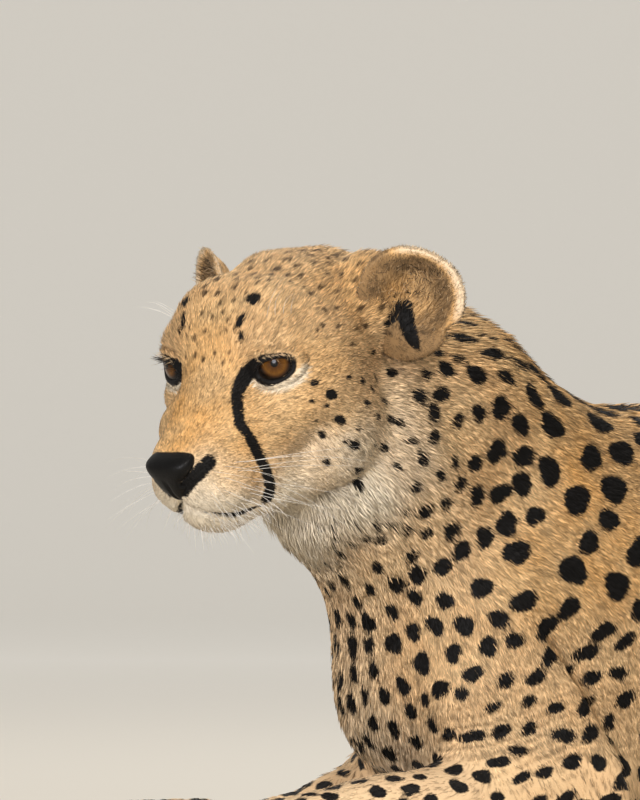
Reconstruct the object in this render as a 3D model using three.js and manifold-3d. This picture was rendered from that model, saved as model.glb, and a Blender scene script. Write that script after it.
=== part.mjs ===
// An adult cheetah lying on its chest with its head raised and turned a little to its left.
// Millimetres, +Z up. The animal lies along X with its nose towards -X and its left side towards -Y.
// The whole body is one smooth field of rounded masses, measured to the tips of the coat. Each named
// part is the stretch of that field inside its own region, and the regions stay a thin cut apart.
import * as THREE from "three";
import { mergeVertices } from "three/addons/utils/BufferGeometryUtils.js";
import Module from "manifold-3d";

const wasm = await Module();
wasm.setup();

// Driving dimensions.
const cut = 0.4; // gap between two parts
const floorFlat = 0; // the level of every flat underneath
const eyeHeight = 301.6; // from the floor to the line through both eyes
const headTurn = 20; // degrees that the head is turned to the animal's left
const headPitch = 12; // degrees that the nose points down
const headPlace = [-229, -46, eyeHeight]; // midway between the irises
const eyeballRadius = 17.5;
const eyeSpread = 32.5; // from the midline to an eyeball's centre
const eyeDepth = 11; // from the iris plane back to an eyeball's centre
const earRadius = 33;
const earThickness = 7;
const earHollow = 15;
const trunkWidth = 92; // half of the chest's width
const elbowSpread = 78;
const pawSpread = 88;
const toeRadius = 12.5;
const toeSpacing = 15;
const toeReach = 36; // from a foot's last station to the tips of the middle toes, less half a toe
const toeFan = 5; // how much shorter the outer toes are
const toeTipHeight = 12;
const knuckleCrowding = 0.7; // the toes' spacing at the knuckles, as a share of that at their tips
const clawLength = 15;
const clawRadius = 3.4;
const kneeSpread = 98;
const hindFootSpread = 116;
const tailRootRadius = 25;
const tailRadius = 21;
// Edge of the cells that each part's surface is drawn on.
const faceCell = 10.5;
const headCell = 13.5;
const neckCell = 29;
const trunkCell = 43;
const legCell = 28;
const thighCell = 34;
const pawCell = 14.5;
const hindpawCell = 21;
const tailCell = 20;

const coat = { tan: 0xcf9f63, pale: 0xe6cfa6, white: 0xf1e9da, dark: 0x2a231d };

// ---- Fields: each gives a point's distance from a rounded mass, negative inside. ----

const blend = (a, b, k) => Math.min(a, b) - Math.max(k - Math.abs(a - b), 0) ** 2 / (4 * k);
const carve = (a, b, k) => -blend(-a, b, k); // a with b smoothly taken away

// An ellipsoid with radii along the frame's own axes.
function pod(centre, radii) {
  return (p) => {
    const q = p.map((v, i) => (v - centre[i]) / radii[i]);
    const near = Math.hypot(...q);
    const far = Math.hypot(q[0] / radii[0], q[1] / radii[1], q[2] / radii[2]);
    return near < 1e-6 ? -Math.min(...radii) : (near * (near - 1)) / far;
  };
}

// A limb from a to b, each [x, y, z, radius], as broad across y as breadth times its radius.
function limb(a, b, breadth = 1) {
  const s = 1 / breadth;
  const ab = [b[0] - a[0], (b[1] - a[1]) * s, b[2] - a[2]];
  const long = ab[0] ** 2 + ab[1] ** 2 + ab[2] ** 2;
  return (p) => {
    const ap = [p[0] - a[0], (p[1] - a[1]) * s, p[2] - a[2]];
    const t = THREE.MathUtils.clamp((ap[0] * ab[0] + ap[1] * ab[1] + ap[2] * ab[2]) / long, 0, 1);
    const off = Math.hypot(ap[0] - t * ab[0], ap[1] - t * ab[1], ap[2] - t * ab[2]);
    return (off - THREE.MathUtils.lerp(a[3], b[3], t)) * Math.min(1, breadth);
  };
}

// A chain of limbs through its stations.
const chain = (stations, breadth) => stations.slice(1).map((b, i) => limb(stations[i], b, breadth));
const join = (fields, k) => (p) => fields.reduce((d, f) => blend(d, f(p), k), 1e3);
const bothSides = (make) => [-1, 1].map(make);

// ---- The head, in its own frame: x forward from the iris plane, y to its left, z up. ----

const headFrame = (() => {
  const turn = THREE.MathUtils.degToRad(headTurn);
  const pitch = THREE.MathUtils.degToRad(headPitch);
  const forward = new THREE.Vector3(-Math.cos(turn), -Math.sin(turn), 0).multiplyScalar(Math.cos(pitch));
  forward.z = -Math.sin(pitch);
  const left = new THREE.Vector3(Math.sin(turn), -Math.cos(turn), 0);
  const up = new THREE.Vector3().crossVectors(forward, left);
  return new THREE.Matrix4().makeBasis(forward, left, up).setPosition(...headPlace);
})();
const intoHead = headFrame.clone().invert();
const headPoint = (p) => new THREE.Vector3(...p).applyMatrix4(intoHead).toArray();

function headMasses() {
  const solid = [
    pod([-62, 0, 2], [57, 53, 55]), // braincase
    pod([-94, 0, 6], [40, 48, 47]), // back of the skull
    pod([-26, 0, 2], [42, 45, 45]), // forehead
    ...bothSides((s) => pod([-25, s * 18, 12], [36, 30, 36])), // domes of the forehead
    limb([-1, 0, -6, 23], [44, 0, -48, 17], 1.1), // bridge of the nose
    limb([-6, 0, -42, 33], [33, 0, -58, 25]), // upper jaw
    pod([22, 0, -80], [22, 17, 13]), // chin
    ...bothSides((s) => pod([-13, s * 31, 13], [19, 20, 12])), // brow
    ...bothSides((s) => pod([-40, s * 34, -2], [40, 25, 26])), // temple
    ...bothSides((s) => pod([-34, s * 38, -21], [39, 24, 23])), // cheekbone
    ...bothSides((s) => pod([10, s * 20, -34], [28, 18.5, 20])), // side of the upper jaw
    ...bothSides((s) => pod([-54, s * 35, -44], [34, 27, 31])), // jaw muscle and cheek fur
    ...bothSides((s) => pod([34, s * 16, -62], [22, 19, 17])), // whisker pad
    ...bothSides((s) => limb([22, s * 7, -80, 11], [-50, s * 34, -62, 20])), // lower jaw
  ];
  const sockets = bothSides((s) => pod([11, s * 41, -1], [11, 16, 11]));
  const masses = join(solid, 9);
  return (p) => {
    const q = headPoint(p);
    return sockets.reduce((d, f) => carve(d, f(q), 5), masses(q));
  };
}

// ---- The body. ----

const neckMasses = join(
  [
    pod([-112, -12, 252], [70, 61, 68]), // behind the jaw
    pod([-60, -4, 262], [74, 64, 76]), // nape
    pod([-98, -8, 222], [73, 60, 50]), // throat
    pod([-72, -4, 190], [56, 60, 60]), // foot of the neck
    pod([-54, 0, 112], [70, 66, 62]), // breast
  ],
  16,
);

// [x, y, z, radius] down the trunk, from the breast to the rump.
const trunkStations = [
  [-24, 0, 126, 76],
  [34, 0, 148, 126],
  [100, 0, 136, 138],
  [200, 0, 131, 133],
  [300, 0, 136, 122],
  [390, 0, 152, 108],
  [470, 0, 158, 98],
  [524, 0, 152, 66],
];
const trunkMasses = join(chain(trunkStations, trunkWidth / trunkStations[2][3]), 10);

// Foreleg stations from the elbow to the knuckles. The right forearm lies flatter than the left.
const forelegStations = {
  left: [
    [2, elbowSpread, 42, 37],
    [-145, pawSpread, 34, 33],
    [-212, pawSpread, 26, 26],
    [-242, pawSpread, 25, 25],
    [-282, pawSpread, 23, 25],
  ],
  right: [
    [2, elbowSpread, 42, 37],
    [-70, pawSpread - 4, 33, 31],
    [-125, pawSpread - 2, 25, 24],
    [-232, pawSpread, 24, 24],
    [-282, pawSpread, 23, 25],
  ],
};
const hindlegStations = [
  [558, kneeSpread + 10, 34, 26],
  [440, hindFootSpread, 22, 22],
  [398, hindFootSpread + 2, 22, 24],
];

// Four toes fanned ahead of a foot's last station.
function toeStations([x, y, , r], side) {
  return [-1.5, -0.5, 0.5, 1.5].map((place) => {
    const across = place * toeSpacing;
    const knuckle = [x + 2, side * (y + across * knuckleCrowding), r - 8, toeRadius];
    const tip = [x - toeReach + toeFan * place * place, side * (y + across), toeTipHeight, toeRadius];
    return [knuckle, tip];
  });
}

const mirrored = (stations, side) => stations.map(([x, y, z, r]) => [x, side * y, z, r]);

function foreleg(name, side) {
  const stations = mirrored(forelegStations[name], side);
  const shoulder = [
    limb([22, side * 28, 258, 25], [-50, side * 54, 156, 40]), // shoulder blade
    limb([-50, side * 54, 156, 40], [0, side * elbowSpread, 50, 36]), // upper arm
    pod([-4, side * 64, 124], [50, 35, 74]), // triceps
  ];
  const toes = toeStations(forelegStations[name].at(-1), side).map(([a, b]) => limb(a, b));
  return { shoulder: join(shoulder, 14), forearm: join(chain(stations), 8), toes: join(toes, 5) };
}

function hindleg(side) {
  const stations = mirrored(hindlegStations, side);
  const thigh = [
    pod([450, side * 68, 138], [124, 46, 106]), // thigh
    limb([490, side * 56, 172, 68], [318, side * kneeSpread, 108, 36]), // thigh bone to knee
    limb([314, side * kneeSpread, 94, 38], [460, side * (kneeSpread + 4), 64, 34]), // calf
    limb([460, side * (kneeSpread + 4), 64, 34], [562, side * (kneeSpread + 8), 44, 20]), // heel cord
  ];
  const toes = toeStations(hindlegStations.at(-1), side).map(([a, b]) => limb(a, b));
  return { thigh: join(thigh, 16), foot: join(chain(stations), 8), toes: join(toes, 5) };
}

const forelegs = { left: foreleg("left", -1), right: foreleg("right", 1) };
const hindlegs = { left: hindleg(-1), right: hindleg(1) };

// The tail leaves the rump, comes down to the floor and curls round the animal's left side.
const tailCurve = new THREE.CatmullRomCurve3(
  [
    [530, 0, 178],
    [592, 4, 150],
    [648, 10, 82],
    [702, 4, 27],
    [748, -50, 21],
    [738, -132, 20],
    [672, -192, 20],
    [580, -222, 20],
    [490, -240, 20],
    [412, -246, 21],
  ].map((p) => new THREE.Vector3(...p)),
);
const tailSteps = 26;
const tailRadiusAt = (t) => {
  const root = THREE.MathUtils.lerp(tailRootRadius + 7, tailRadius, THREE.MathUtils.smoothstep(t, 0, 0.3));
  const brush = 3.5 * THREE.MathUtils.smoothstep(t, 0.55, 0.85);
  const tip = 9 * THREE.MathUtils.smoothstep(t, 0.93, 1);
  return root + brush - tip;
};
const tailStations = tailCurve
  .getSpacedPoints(tailSteps)
  .map((p, i) => [...p.toArray(), tailRadiusAt(i / tailSteps)]);
const tailMasses = join(chain(tailStations), 4);

const headField = headMasses();
const bodyField = (p) => {
  let d = blend(trunkMasses(p), neckMasses(p), 34);
  for (const leg of Object.values(forelegs)) d = blend(d, leg.shoulder(p), 22);
  for (const leg of Object.values(hindlegs)) d = blend(d, leg.thigh(p), 20);
  d = blend(d, headField(p), 20);
  for (const leg of Object.values(forelegs)) d = blend(d, blend(leg.forearm(p), leg.toes(p), 7), 20);
  for (const leg of Object.values(hindlegs)) d = blend(d, blend(leg.foot(p), leg.toes(p), 7), 10);
  return blend(d, tailMasses(p), 12);
};

// ---- From a field to a solid. ----

// The field's surface inside a box, one vertex to each cell that it crosses, set onto the surface.
function surface(field, low, high, cell) {
  const count = low.map((v, i) => Math.ceil((high[i] - v) / cell) + 1);
  const index = (i, j, k) => (i * count[1] + j) * count[2] + k;
  const corner = (i, j, k) => [low[0] + i * cell, low[1] + j * cell, low[2] + k * cell];
  const value = new Float64Array(count[0] * count[1] * count[2]);
  for (let i = 0; i < count[0]; i++)
    for (let j = 0; j < count[1]; j++)
      for (let k = 0; k < count[2]; k++) {
        const edge = [i, j, k].some((v, axis) => v === 0 || v === count[axis] - 1);
        value[index(i, j, k)] = edge ? cell : field(corner(i, j, k));
      }
  const vertexOf = new Map();
  const points = [];
  const vertex = (i, j, k) => {
    const key = index(i, j, k);
    if (!vertexOf.has(key)) {
      vertexOf.set(key, points.length);
      points.push(settle(field, crossing(i, j, k), cell));
    }
    return vertexOf.get(key);
  };
  // The mean of the places where the surface crosses the cell's twelve edges.
  function crossing(i, j, k) {
    const mean = [0, 0, 0];
    let found = 0;
    for (let axis = 0; axis < 3; axis++)
      for (const [u, v] of [[0, 0], [0, 1], [1, 0], [1, 1]]) {
        const from = [i, j, k];
        from[(axis + 1) % 3] += u;
        from[(axis + 2) % 3] += v;
        const to = [...from];
        to[axis] += 1;
        const a = value[index(...from)];
        const b = value[index(...to)];
        if (a < 0 === b < 0) continue;
        const start = corner(...from);
        start[axis] += (cell * a) / (a - b);
        start.forEach((c, n) => (mean[n] += c));
        found += 1;
      }
    return mean.map((c) => c / found);
  }
  const triangles = [];
  for (let i = 0; i < count[0] - 1; i++)
    for (let j = 0; j < count[1] - 1; j++)
      for (let k = 0; k < count[2] - 1; k++)
        for (let axis = 0; axis < 3; axis++) {
          if ([i, j, k].some((v, n) => n !== axis && v === 0)) continue;
          const next = [i, j, k];
          next[axis] += 1;
          const inside = value[index(i, j, k)] < 0;
          if (inside === value[index(...next)] < 0) continue;
          const around = [[0, 0], [-1, 0], [-1, -1], [0, -1]].map(([u, v]) => {
            const c = [i, j, k];
            c[(axis + 1) % 3] += u;
            c[(axis + 2) % 3] += v;
            return vertex(...c);
          });
          triangles.push(...quad(inside ? around : around.reverse(), points));
        }
  const geometry = new THREE.BufferGeometry();
  geometry.setAttribute("position", new THREE.Float32BufferAttribute(points.flat(), 3));
  geometry.setIndex(triangles);
  return geometry;
}

// Two triangles across a quad's shorter diagonal.
function quad([a, b, c, d], points) {
  const apart = (m, n) => Math.hypot(...points[m].map((v, i) => v - points[n][i]));
  return apart(a, c) < apart(b, d) ? [a, b, c, a, c, d] : [a, b, d, b, c, d];
}

// Steps a point onto the field's surface, by less than half a cell.
function settle(field, point, cell) {
  const reach = 0.5;
  let p = point;
  for (let step = 0; step < 2; step++) {
    const d = field(p);
    const slope = [0, 1, 2].map((axis) => {
      const q = [...p];
      q[axis] += reach;
      return (field(q) - d) / reach;
    });
    const steep = Math.max(slope.reduce((sum, v) => sum + v * v, 0), 0.2);
    const move = slope.map((v) => (-d * v) / steep);
    const length = Math.hypot(...move);
    const scale = Math.min(1, (0.45 * cell) / Math.max(length, 1e-9));
    p = p.map((v, i) => v + move[i] * scale);
  }
  return p;
}

function toSolid(geometry) {
  const bare = new THREE.BufferGeometry().setAttribute("position", geometry.getAttribute("position"));
  bare.setIndex(geometry.index);
  const merged = mergeVertices(bare, 1e-4);
  return new wasm.Manifold(
    new wasm.Mesh({
      numProp: 3,
      vertProperties: Float32Array.from(merged.attributes.position.array),
      triVerts: Uint32Array.from(merged.index.array),
    }),
  );
}

// The solid's mesh. Where two of its vertices share one place, each is drawn a hair into its own side,
// so that the surface never touches itself.
function toGeometry(solid) {
  const mesh = solid.getMesh();
  const geometry = new THREE.BufferGeometry();
  const place = new THREE.BufferAttribute(Float32Array.from(mesh.vertProperties), 3);
  geometry.setAttribute("position", place);
  geometry.setIndex(new THREE.BufferAttribute(Uint32Array.from(mesh.triVerts), 1));
  geometry.computeVertexNormals();
  const normal = geometry.attributes.normal;
  const hair = 0.03;
  const sharing = new Map();
  for (let i = 0; i < place.count; i++) {
    const key = [place.getX(i), place.getY(i), place.getZ(i)].map((v) => v.toFixed(2)).join();
    sharing.set(key, [...(sharing.get(key) ?? []), i]);
  }
  for (const group of sharing.values())
    if (group.length > 1)
      for (const i of group) {
        const inward = new THREE.Vector3().fromBufferAttribute(normal, i).multiplyScalar(-hair);
        place.setXYZ(i, place.getX(i) + inward.x, place.getY(i) + inward.y, place.getZ(i) + inward.z);
      }
  return geometry;
}

// ---- Regions: lists of planes { at, out }, where out points away from what is kept. ----

const plane = (at, out) => ({ at: new THREE.Vector3(...at), out: new THREE.Vector3(...out).normalize() });
const flipped = ({ at, out }) => ({ at, out: out.clone().negate() });
const inHead = (at, out) => {
  const place = new THREE.Vector3(...at).applyMatrix4(headFrame);
  return { at: place, out: new THREE.Vector3(...out).transformDirection(headFrame) };
};

// A large block whose one face lies in the plane, moved outwards by grow.
function block({ at, out }, grow) {
  const size = 3000;
  const turn = new THREE.Quaternion().setFromUnitVectors(new THREE.Vector3(0, 0, 1), out);
  const centre = at.clone().addScaledVector(out, grow - size / 2);
  const box = new THREE.BoxGeometry(size, size, size).applyQuaternion(turn).translate(...centre);
  return toSolid(box);
}

const regionSolid = (planes, grow) => planes.map((p) => block(p, grow)).reduce((a, b) => a.intersect(b));

const past = ({ at, out }, p) => (p[0] - at.x) * out.x + (p[1] - at.y) * out.y + (p[2] - at.z) * out.z;
const beyond = (planes, p) => Math.max(...planes.map((plane) => past(plane, p)));

const floorPlane = plane([0, 0, floorFlat], [0, 0, -1]);

// The stretch of a field inside the planes, without the regions and solids in without.
function stretch({ field = bodyField, low, high, cell, planes, without = [], inserts = [] }) {
  const clipped = (p) => Math.max(field(p), beyond([...planes, floorPlane], p) - 1.6 * cell);
  const grid = low.map((v) => v - 2.2 * cell);
  let solid = toSolid(surface(clipped, grid, high.map((v) => v + 2.2 * cell), cell));
  solid = solid.intersect(regionSolid(planes, -cut / 2)).intersect(block(floorPlane, 0));
  for (const region of without) solid = solid.subtract(regionSolid(region, cut / 2));
  for (const insert of inserts) solid = solid.subtract(insert);
  return solid.decompose().reduce((a, b) => (a.volume() > b.volume() ? a : b));
}

const model = new THREE.Group();

function add(name, solid, colour, roughness = 0.9) {
  const material = new THREE.MeshStandardMaterial({ color: colour, roughness, metalness: 0 });
  const mesh = new THREE.Mesh(toGeometry(solid), material);
  mesh.name = name;
  model.add(mesh);
}

// ---- Separate pieces that sit in the flesh. grow makes the hole that each one sits in. ----

function eyeball(side, grow) {
  const ball = new THREE.SphereGeometry(eyeballRadius + grow, 12, 8);
  ball.translate(-eyeDepth, side * eyeSpread, 0).applyMatrix4(headFrame);
  return toSolid(ball);
}

// The bare pad on the end of the nose, broad at the top and drawn in to the lip.
function nosePad(grow) {
  const pad = new THREE.SphereGeometry(1, 12, 8);
  const place = pad.attributes.position;
  for (let i = 0; i < place.count; i++) {
    const [x, y, z] = [place.getX(i), place.getY(i), place.getZ(i)];
    const drawnIn = THREE.MathUtils.lerp(0.42, 1, THREE.MathUtils.smoothstep(z, -1, 0.4));
    place.setXYZ(i, (13 + grow) * x, (19.5 + grow) * y * drawnIn, (14.5 + grow) * z);
  }
  const lean = THREE.MathUtils.degToRad(24);
  pad.rotateY(lean).translate(55, 0, -53.5).applyMatrix4(headFrame);
  return toSolid(pad);
}

// A round cup: a ball pressed flat, then pushed in at the middle, with its mouth forward and outward.
// Its hole is roomier across the wall, because the wall slopes.
function earCup(side, grow) {
  const cup = new THREE.SphereGeometry(1, 16, 9);
  cup.rotateZ(Math.PI / 2);
  const place = cup.attributes.position;
  for (let i = 0; i < place.count; i++) {
    const [x, y, z] = [place.getX(i), place.getY(i), place.getZ(i)];
    const rim = Math.min(1, Math.hypot(y, z));
    const tall = z < 0 ? 1.12 : 1;
    const depth = x * (earThickness / 2 + 2.5 * grow) - earHollow * Math.cos((rim * Math.PI) / 2);
    place.setXYZ(i, depth, y * (earRadius + grow), z * tall * (earRadius + grow));
  }
  cup.rotateY(THREE.MathUtils.degToRad(-8));
  cup.rotateZ(THREE.MathUtils.degToRad(side * 38));
  cup.translate(-84, side * 76, 20).applyMatrix4(headFrame);
  return toSolid(cup);
}

// A hooked claw that leaves the end of a toe, pointing down and forward.
function claw([x, y, z], grow, scale = 1) {
  const spike = new THREE.CylinderGeometry(0.12, 1, 1, 5, 1);
  const place = spike.attributes.position;
  for (let i = 0; i < place.count; i++) {
    const along = place.getY(i) + 0.5;
    const thick = (clawRadius + grow) * scale;
    const forward = -(clawLength * scale + grow) * along;
    const drop = 6 * scale * along * along;
    place.setXYZ(i, x + forward, y + place.getX(i) * thick * 0.75, z - drop + place.getZ(i) * thick);
  }
  return toSolid(spike);
}

// ---- The regions of the flesh. ----

const headBack = inHead([-126, 0, 42], [-0.87, 0, -0.49]);
const muzzleBack = inHead([13, 0, 0], [-1, 0, -0.12]);
const mouth = inHead([45, 0, -75], [-0.12, 0, 1]);
const jawBack = inHead([-34, 0, -80], [-1, 0, 0.5]);
const neckFoot = plane([-128, 0, 172], [0.61, 0, -0.79]);
const waist = plane([215, 0, 0], [1, 0, 0]);
const loin = plane([400, 0, 0], [1, 0, 0]);
const elbowTop = plane([0, 0, 80], [-0.1, 0, 1]);
const wrist = plane([-244, 0, 0], [-1, 0, 0]);
const thighFront = plane([258, 0, 0], [-1, 0, 0]);
const kneeTop = plane([430, 0, 96], [-0.05, 0, 1]);
const hockTop = plane([430, 0, 50], [-0.04, 0, 1]);
const tailRoot = plane([594, 0, 150], [-1, 0, 0]);
const tailTurn = plane([0, -60, 0], [0, -1, 0]);
const tailReturn = plane([600, 0, 0], [-1, 0, 0]);
const besideRump = plane([0, -185, 0], [0, 1, 0]);

const outside = (side, inner) => plane([0, side * inner, 0], [0, -side, 0]);
const muzzleRegion = [muzzleBack, flipped(mouth)];
const jawRegion = [mouth, jawBack];
const armRegion = (side) => [
  outside(side, 54),
  flipped(neckFoot),
  plane([0, 0, 240], [0, 0, 1]),
  plane([-118, 0, 0], [-1, 0, 0]),
  plane([44, 0, 120], [1, 0, 0.3]),
  flipped(elbowTop),
];
const forearmRegion = (side) => [outside(side, 48), elbowTop, plane([44, 0, 0], [1, 0, 0]), wrist];
const forepawRegion = (side) => [outside(side, 40), flipped(wrist)];
const thighTop = plane([0, 0, 228], [0, 0, 1]);
const thighRegion = (side) => [outside(side, 66), thighFront, thighTop, flipped(kneeTop)];
const shankRegion = (side) => [outside(side, 66), thighFront, kneeTop, flipped(hockTop)];
const hindpawRegion = (side) => [outside(side, 66), thighFront, hockTop];
const legRegions = [-1, 1].flatMap((s) => [armRegion(s), forearmRegion(s), forepawRegion(s)]);
const hindRegions = [-1, 1].flatMap((s) => [thighRegion(s), shankRegion(s), hindpawRegion(s)]);

// ---- The parts. ----

const eyeHoles = bothSides((side) => eyeball(side, cut));
const earHoles = bothSides((side) => earCup(side, cut));
const noseHole = nosePad(cut);

add(
  "head",
  stretch({
    low: [-275, -150, 190],
    high: [-85, 75, 385],
    cell: headCell,
    planes: [headBack],
    without: [muzzleRegion, jawRegion],
    inserts: [...eyeHoles, ...earHoles],
  }),
  coat.tan,
);
add(
  "muzzle",
  stretch({
    low: [-310, -125, 200],
    high: [-215, 5, 330],
    cell: faceCell,
    planes: muzzleRegion,
    inserts: [noseHole],
  }),
  coat.tan,
);
add(
  "lower_jaw",
  stretch({ low: [-300, -125, 190], high: [-160, 10, 260], cell: faceCell, planes: jawRegion }),
  coat.white,
);
["right", "left"].forEach((name, i) => {
  const side = i * 2 - 1; // in the head's frame its left is +y
  add(`eye_${name}`, eyeball(side, 0), 0x7a4a1c, 0.1);
  add(`ear_${name}`, earCup(side, 0), coat.tan);
});
add("nose", nosePad(0), coat.dark, 0.45);

add(
  "neck",
  stretch({
    low: [-200, -100, 150],
    high: [40, 80, 370],
    cell: neckCell,
    planes: [flipped(headBack), neckFoot],
    inserts: earHoles,
  }),
  coat.tan,
);
add(
  "chest",
  stretch({
    low: [-140, -115, 0],
    high: [215, 115, 300],
    cell: trunkCell,
    planes: [flipped(neckFoot), waist],
    without: legRegions,
  }),
  coat.tan,
);
add(
  "belly",
  stretch({
    low: [215, -120, 0],
    high: [400, 120, 300],
    cell: trunkCell,
    planes: [flipped(waist), loin],
    without: hindRegions,
  }),
  coat.pale,
);
add(
  "hips",
  stretch({
    low: [400, -120, 0],
    high: [640, 120, 300],
    cell: trunkCell,
    planes: [flipped(loin)],
    without: [...hindRegions, [tailRoot]],
  }),
  coat.tan,
);

[["left", -1], ["right", 1]].forEach(([name, side]) => {
  const span = (near, far) => [Math.min(side * near, side * far), Math.max(side * near, side * far)];
  const leg = (part, [x0, x1], [near, far], [z0, z1], cell, planes, inserts = []) => {
    const [y0, y1] = span(near, far);
    const solid = stretch({ low: [x0, y0, z0], high: [x1, y1, z1], cell, planes, inserts });
    add(`${part}_${name}`, solid, coat.tan);
  };
  const claws = (part, stations, scale) =>
    toeStations(stations, side).map(([, [x, y, z]], i) => {
      const root = [x - 7, y, z + 3];
      const title = `${part}_claw_${name}_${i + 1}`;
      return { name: title, solid: claw(root, 0, scale), hole: claw(root, cut, scale) };
    });
  const foreClaws = claws("fore", forelegStations[name].at(-1), 1);
  const hindClaws = claws("hind", hindlegStations.at(-1), 0.9);
  leg("upper_arm", [-118, 60], [54, 125], [60, 240], legCell, armRegion(side));
  leg("forearm", [-244, 44], [48, 130], [0, 90], legCell, forearmRegion(side));
  const foreHoles = foreClaws.map((c) => c.hole);
  leg("forepaw", [-345, -244], [40, 140], [0, 60], pawCell, forepawRegion(side), foreHoles);
  leg("thigh", [258, 600], [66, 170], [80, 228], thighCell, thighRegion(side));
  leg("shank", [258, 610], [66, 175], [40, 110], thighCell, shankRegion(side));
  const hindHoles = hindClaws.map((c) => c.hole);
  leg("hindpaw", [310, 610], [66, 180], [0, 60], hindpawCell, hindpawRegion(side), hindHoles);
  [...foreClaws, ...hindClaws].forEach((c) => add(c.name, c.solid, coat.dark, 0.4));
});

const tailPart = (name, low, high, planes, colour) =>
  add(name, stretch({ field: bodyField, low, high, cell: tailCell, planes }), colour);
tailPart("tail_base", [594, -60, 0], [790, 60, 210], [tailRoot, tailTurn], coat.tan);
tailPart("tail_middle", [600, -250, 0], [790, -60, 60], [flipped(tailTurn), tailReturn], coat.tan);
tailPart("tail_tip", [380, -285, 0], [600, -185, 60], [flipped(tailReturn), besideRump], coat.white);

// The origin is on the floor, under the middle of the whole animal.
const bounds = new THREE.Box3().setFromObject(model);
const middle = bounds.getCenter(new THREE.Vector3());
model.position.set(-middle.x, -middle.y, -floorFlat);

export default model;
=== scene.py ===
import math

import bmesh
import bpy
import numpy as np
from mathutils import Matrix, Vector, kdtree, noise


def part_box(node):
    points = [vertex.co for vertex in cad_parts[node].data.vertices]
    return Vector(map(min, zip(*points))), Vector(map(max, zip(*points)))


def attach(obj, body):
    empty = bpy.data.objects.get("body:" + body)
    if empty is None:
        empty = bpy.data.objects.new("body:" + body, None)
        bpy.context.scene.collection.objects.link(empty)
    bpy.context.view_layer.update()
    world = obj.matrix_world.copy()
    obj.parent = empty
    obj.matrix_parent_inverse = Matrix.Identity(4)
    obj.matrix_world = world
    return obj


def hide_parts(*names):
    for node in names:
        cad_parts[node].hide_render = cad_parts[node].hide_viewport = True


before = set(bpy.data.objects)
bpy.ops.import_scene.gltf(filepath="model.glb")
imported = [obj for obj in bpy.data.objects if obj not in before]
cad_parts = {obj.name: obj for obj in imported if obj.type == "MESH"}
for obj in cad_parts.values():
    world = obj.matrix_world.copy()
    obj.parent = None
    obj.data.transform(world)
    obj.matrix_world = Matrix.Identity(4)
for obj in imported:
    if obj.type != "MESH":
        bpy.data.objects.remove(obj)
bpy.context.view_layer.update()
scene = bpy.context.scene
mm = 0.001  # every length below is in millimetres and is scaled by this where a mesh is made


def unit(v):
    v = np.asarray(v, float)
    return v / np.maximum(np.linalg.norm(v, axis=-1, keepdims=True), 1e-9)


def ease(low, high, value):
    t = np.clip((value - low) / (high - low), 0, 1)
    return t * t * (3 - 2 * t)


def corners(node):
    low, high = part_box(node)
    return np.array(low) / mm, np.array(high) / mm


def middle(node):
    low, high = corners(node)
    return (low + high) / 2


# The head's own axes: forward from the irises, to its left, and up
headSettings = {
    "pitch": 12,  # degrees that the nose points down
    "eyeDepth": 11,  # from the irises back to the centres of the eyeballs
}
eyeCentres = {"left": middle("eye_left"), "right": middle("eye_right")}
headLeft = unit(eyeCentres["left"] - eyeCentres["right"])
pitch = math.radians(headSettings["pitch"])
headForward = math.cos(pitch) * np.cross(headLeft, (0, 0, 1)) - math.sin(pitch) * np.array((0, 0, 1))
headUp = np.cross(headForward, headLeft)
headAxes = np.array([headForward, headLeft, headUp])
headOrigin = (eyeCentres["left"] + eyeCentres["right"]) / 2 + headSettings["eyeDepth"] * headForward

# The body's own origin: on the floor, on its midline, at the elbows
loinToElbow = 399.8
bodyOrigin = np.array([corners("belly")[1][0] - loinToElbow, middle("hips")[1], 0.0])


def intoHead(points):
    return (np.asarray(points, float) - headOrigin) @ headAxes.T


def fromHead(points):
    return np.asarray(points, float) @ headAxes + headOrigin


# The left eyeball's centre, in the head's axes
eyeballCentre = np.array((-headSettings["eyeDepth"], intoHead(eyeCentres["left"])[1], 0))


# Places in the head's axes, those on its right mirrored to its left.
def ontoLeft(q):
    folded = np.array(q)
    folded[:, 1] = np.abs(folded[:, 1])
    return folded


# Each field gives the distance from a rounded mass, for many points at once
def pod(centre, radii):
    centre, radii = np.array(centre, float), np.array(radii, float)

    def field(p):
        q = (p - centre) / radii
        near = np.linalg.norm(q, axis=1)
        far = np.linalg.norm(q / radii, axis=1)
        return near * (near - 1) / np.maximum(far, 1e-6)

    return field


def limb(a, b, breadth=1.0):
    squeeze = np.array([1, 1 / breadth, 1])
    start, end = np.array(a[:3]) * squeeze, np.array(b[:3]) * squeeze
    along = end - start

    def field(p):
        q = p * squeeze - start
        t = np.clip(q @ along / (along @ along), 0, 1)
        return np.linalg.norm(q - t[:, None] * along, axis=1) - (a[3] + (b[3] - a[3]) * t)

    return field


def blend(a, b, k):
    return np.minimum(a, b) - np.maximum(k - np.abs(a - b), 0) ** 2 / (4 * k)


def bothSides(make):
    return [make(-1), make(1)]


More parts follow.
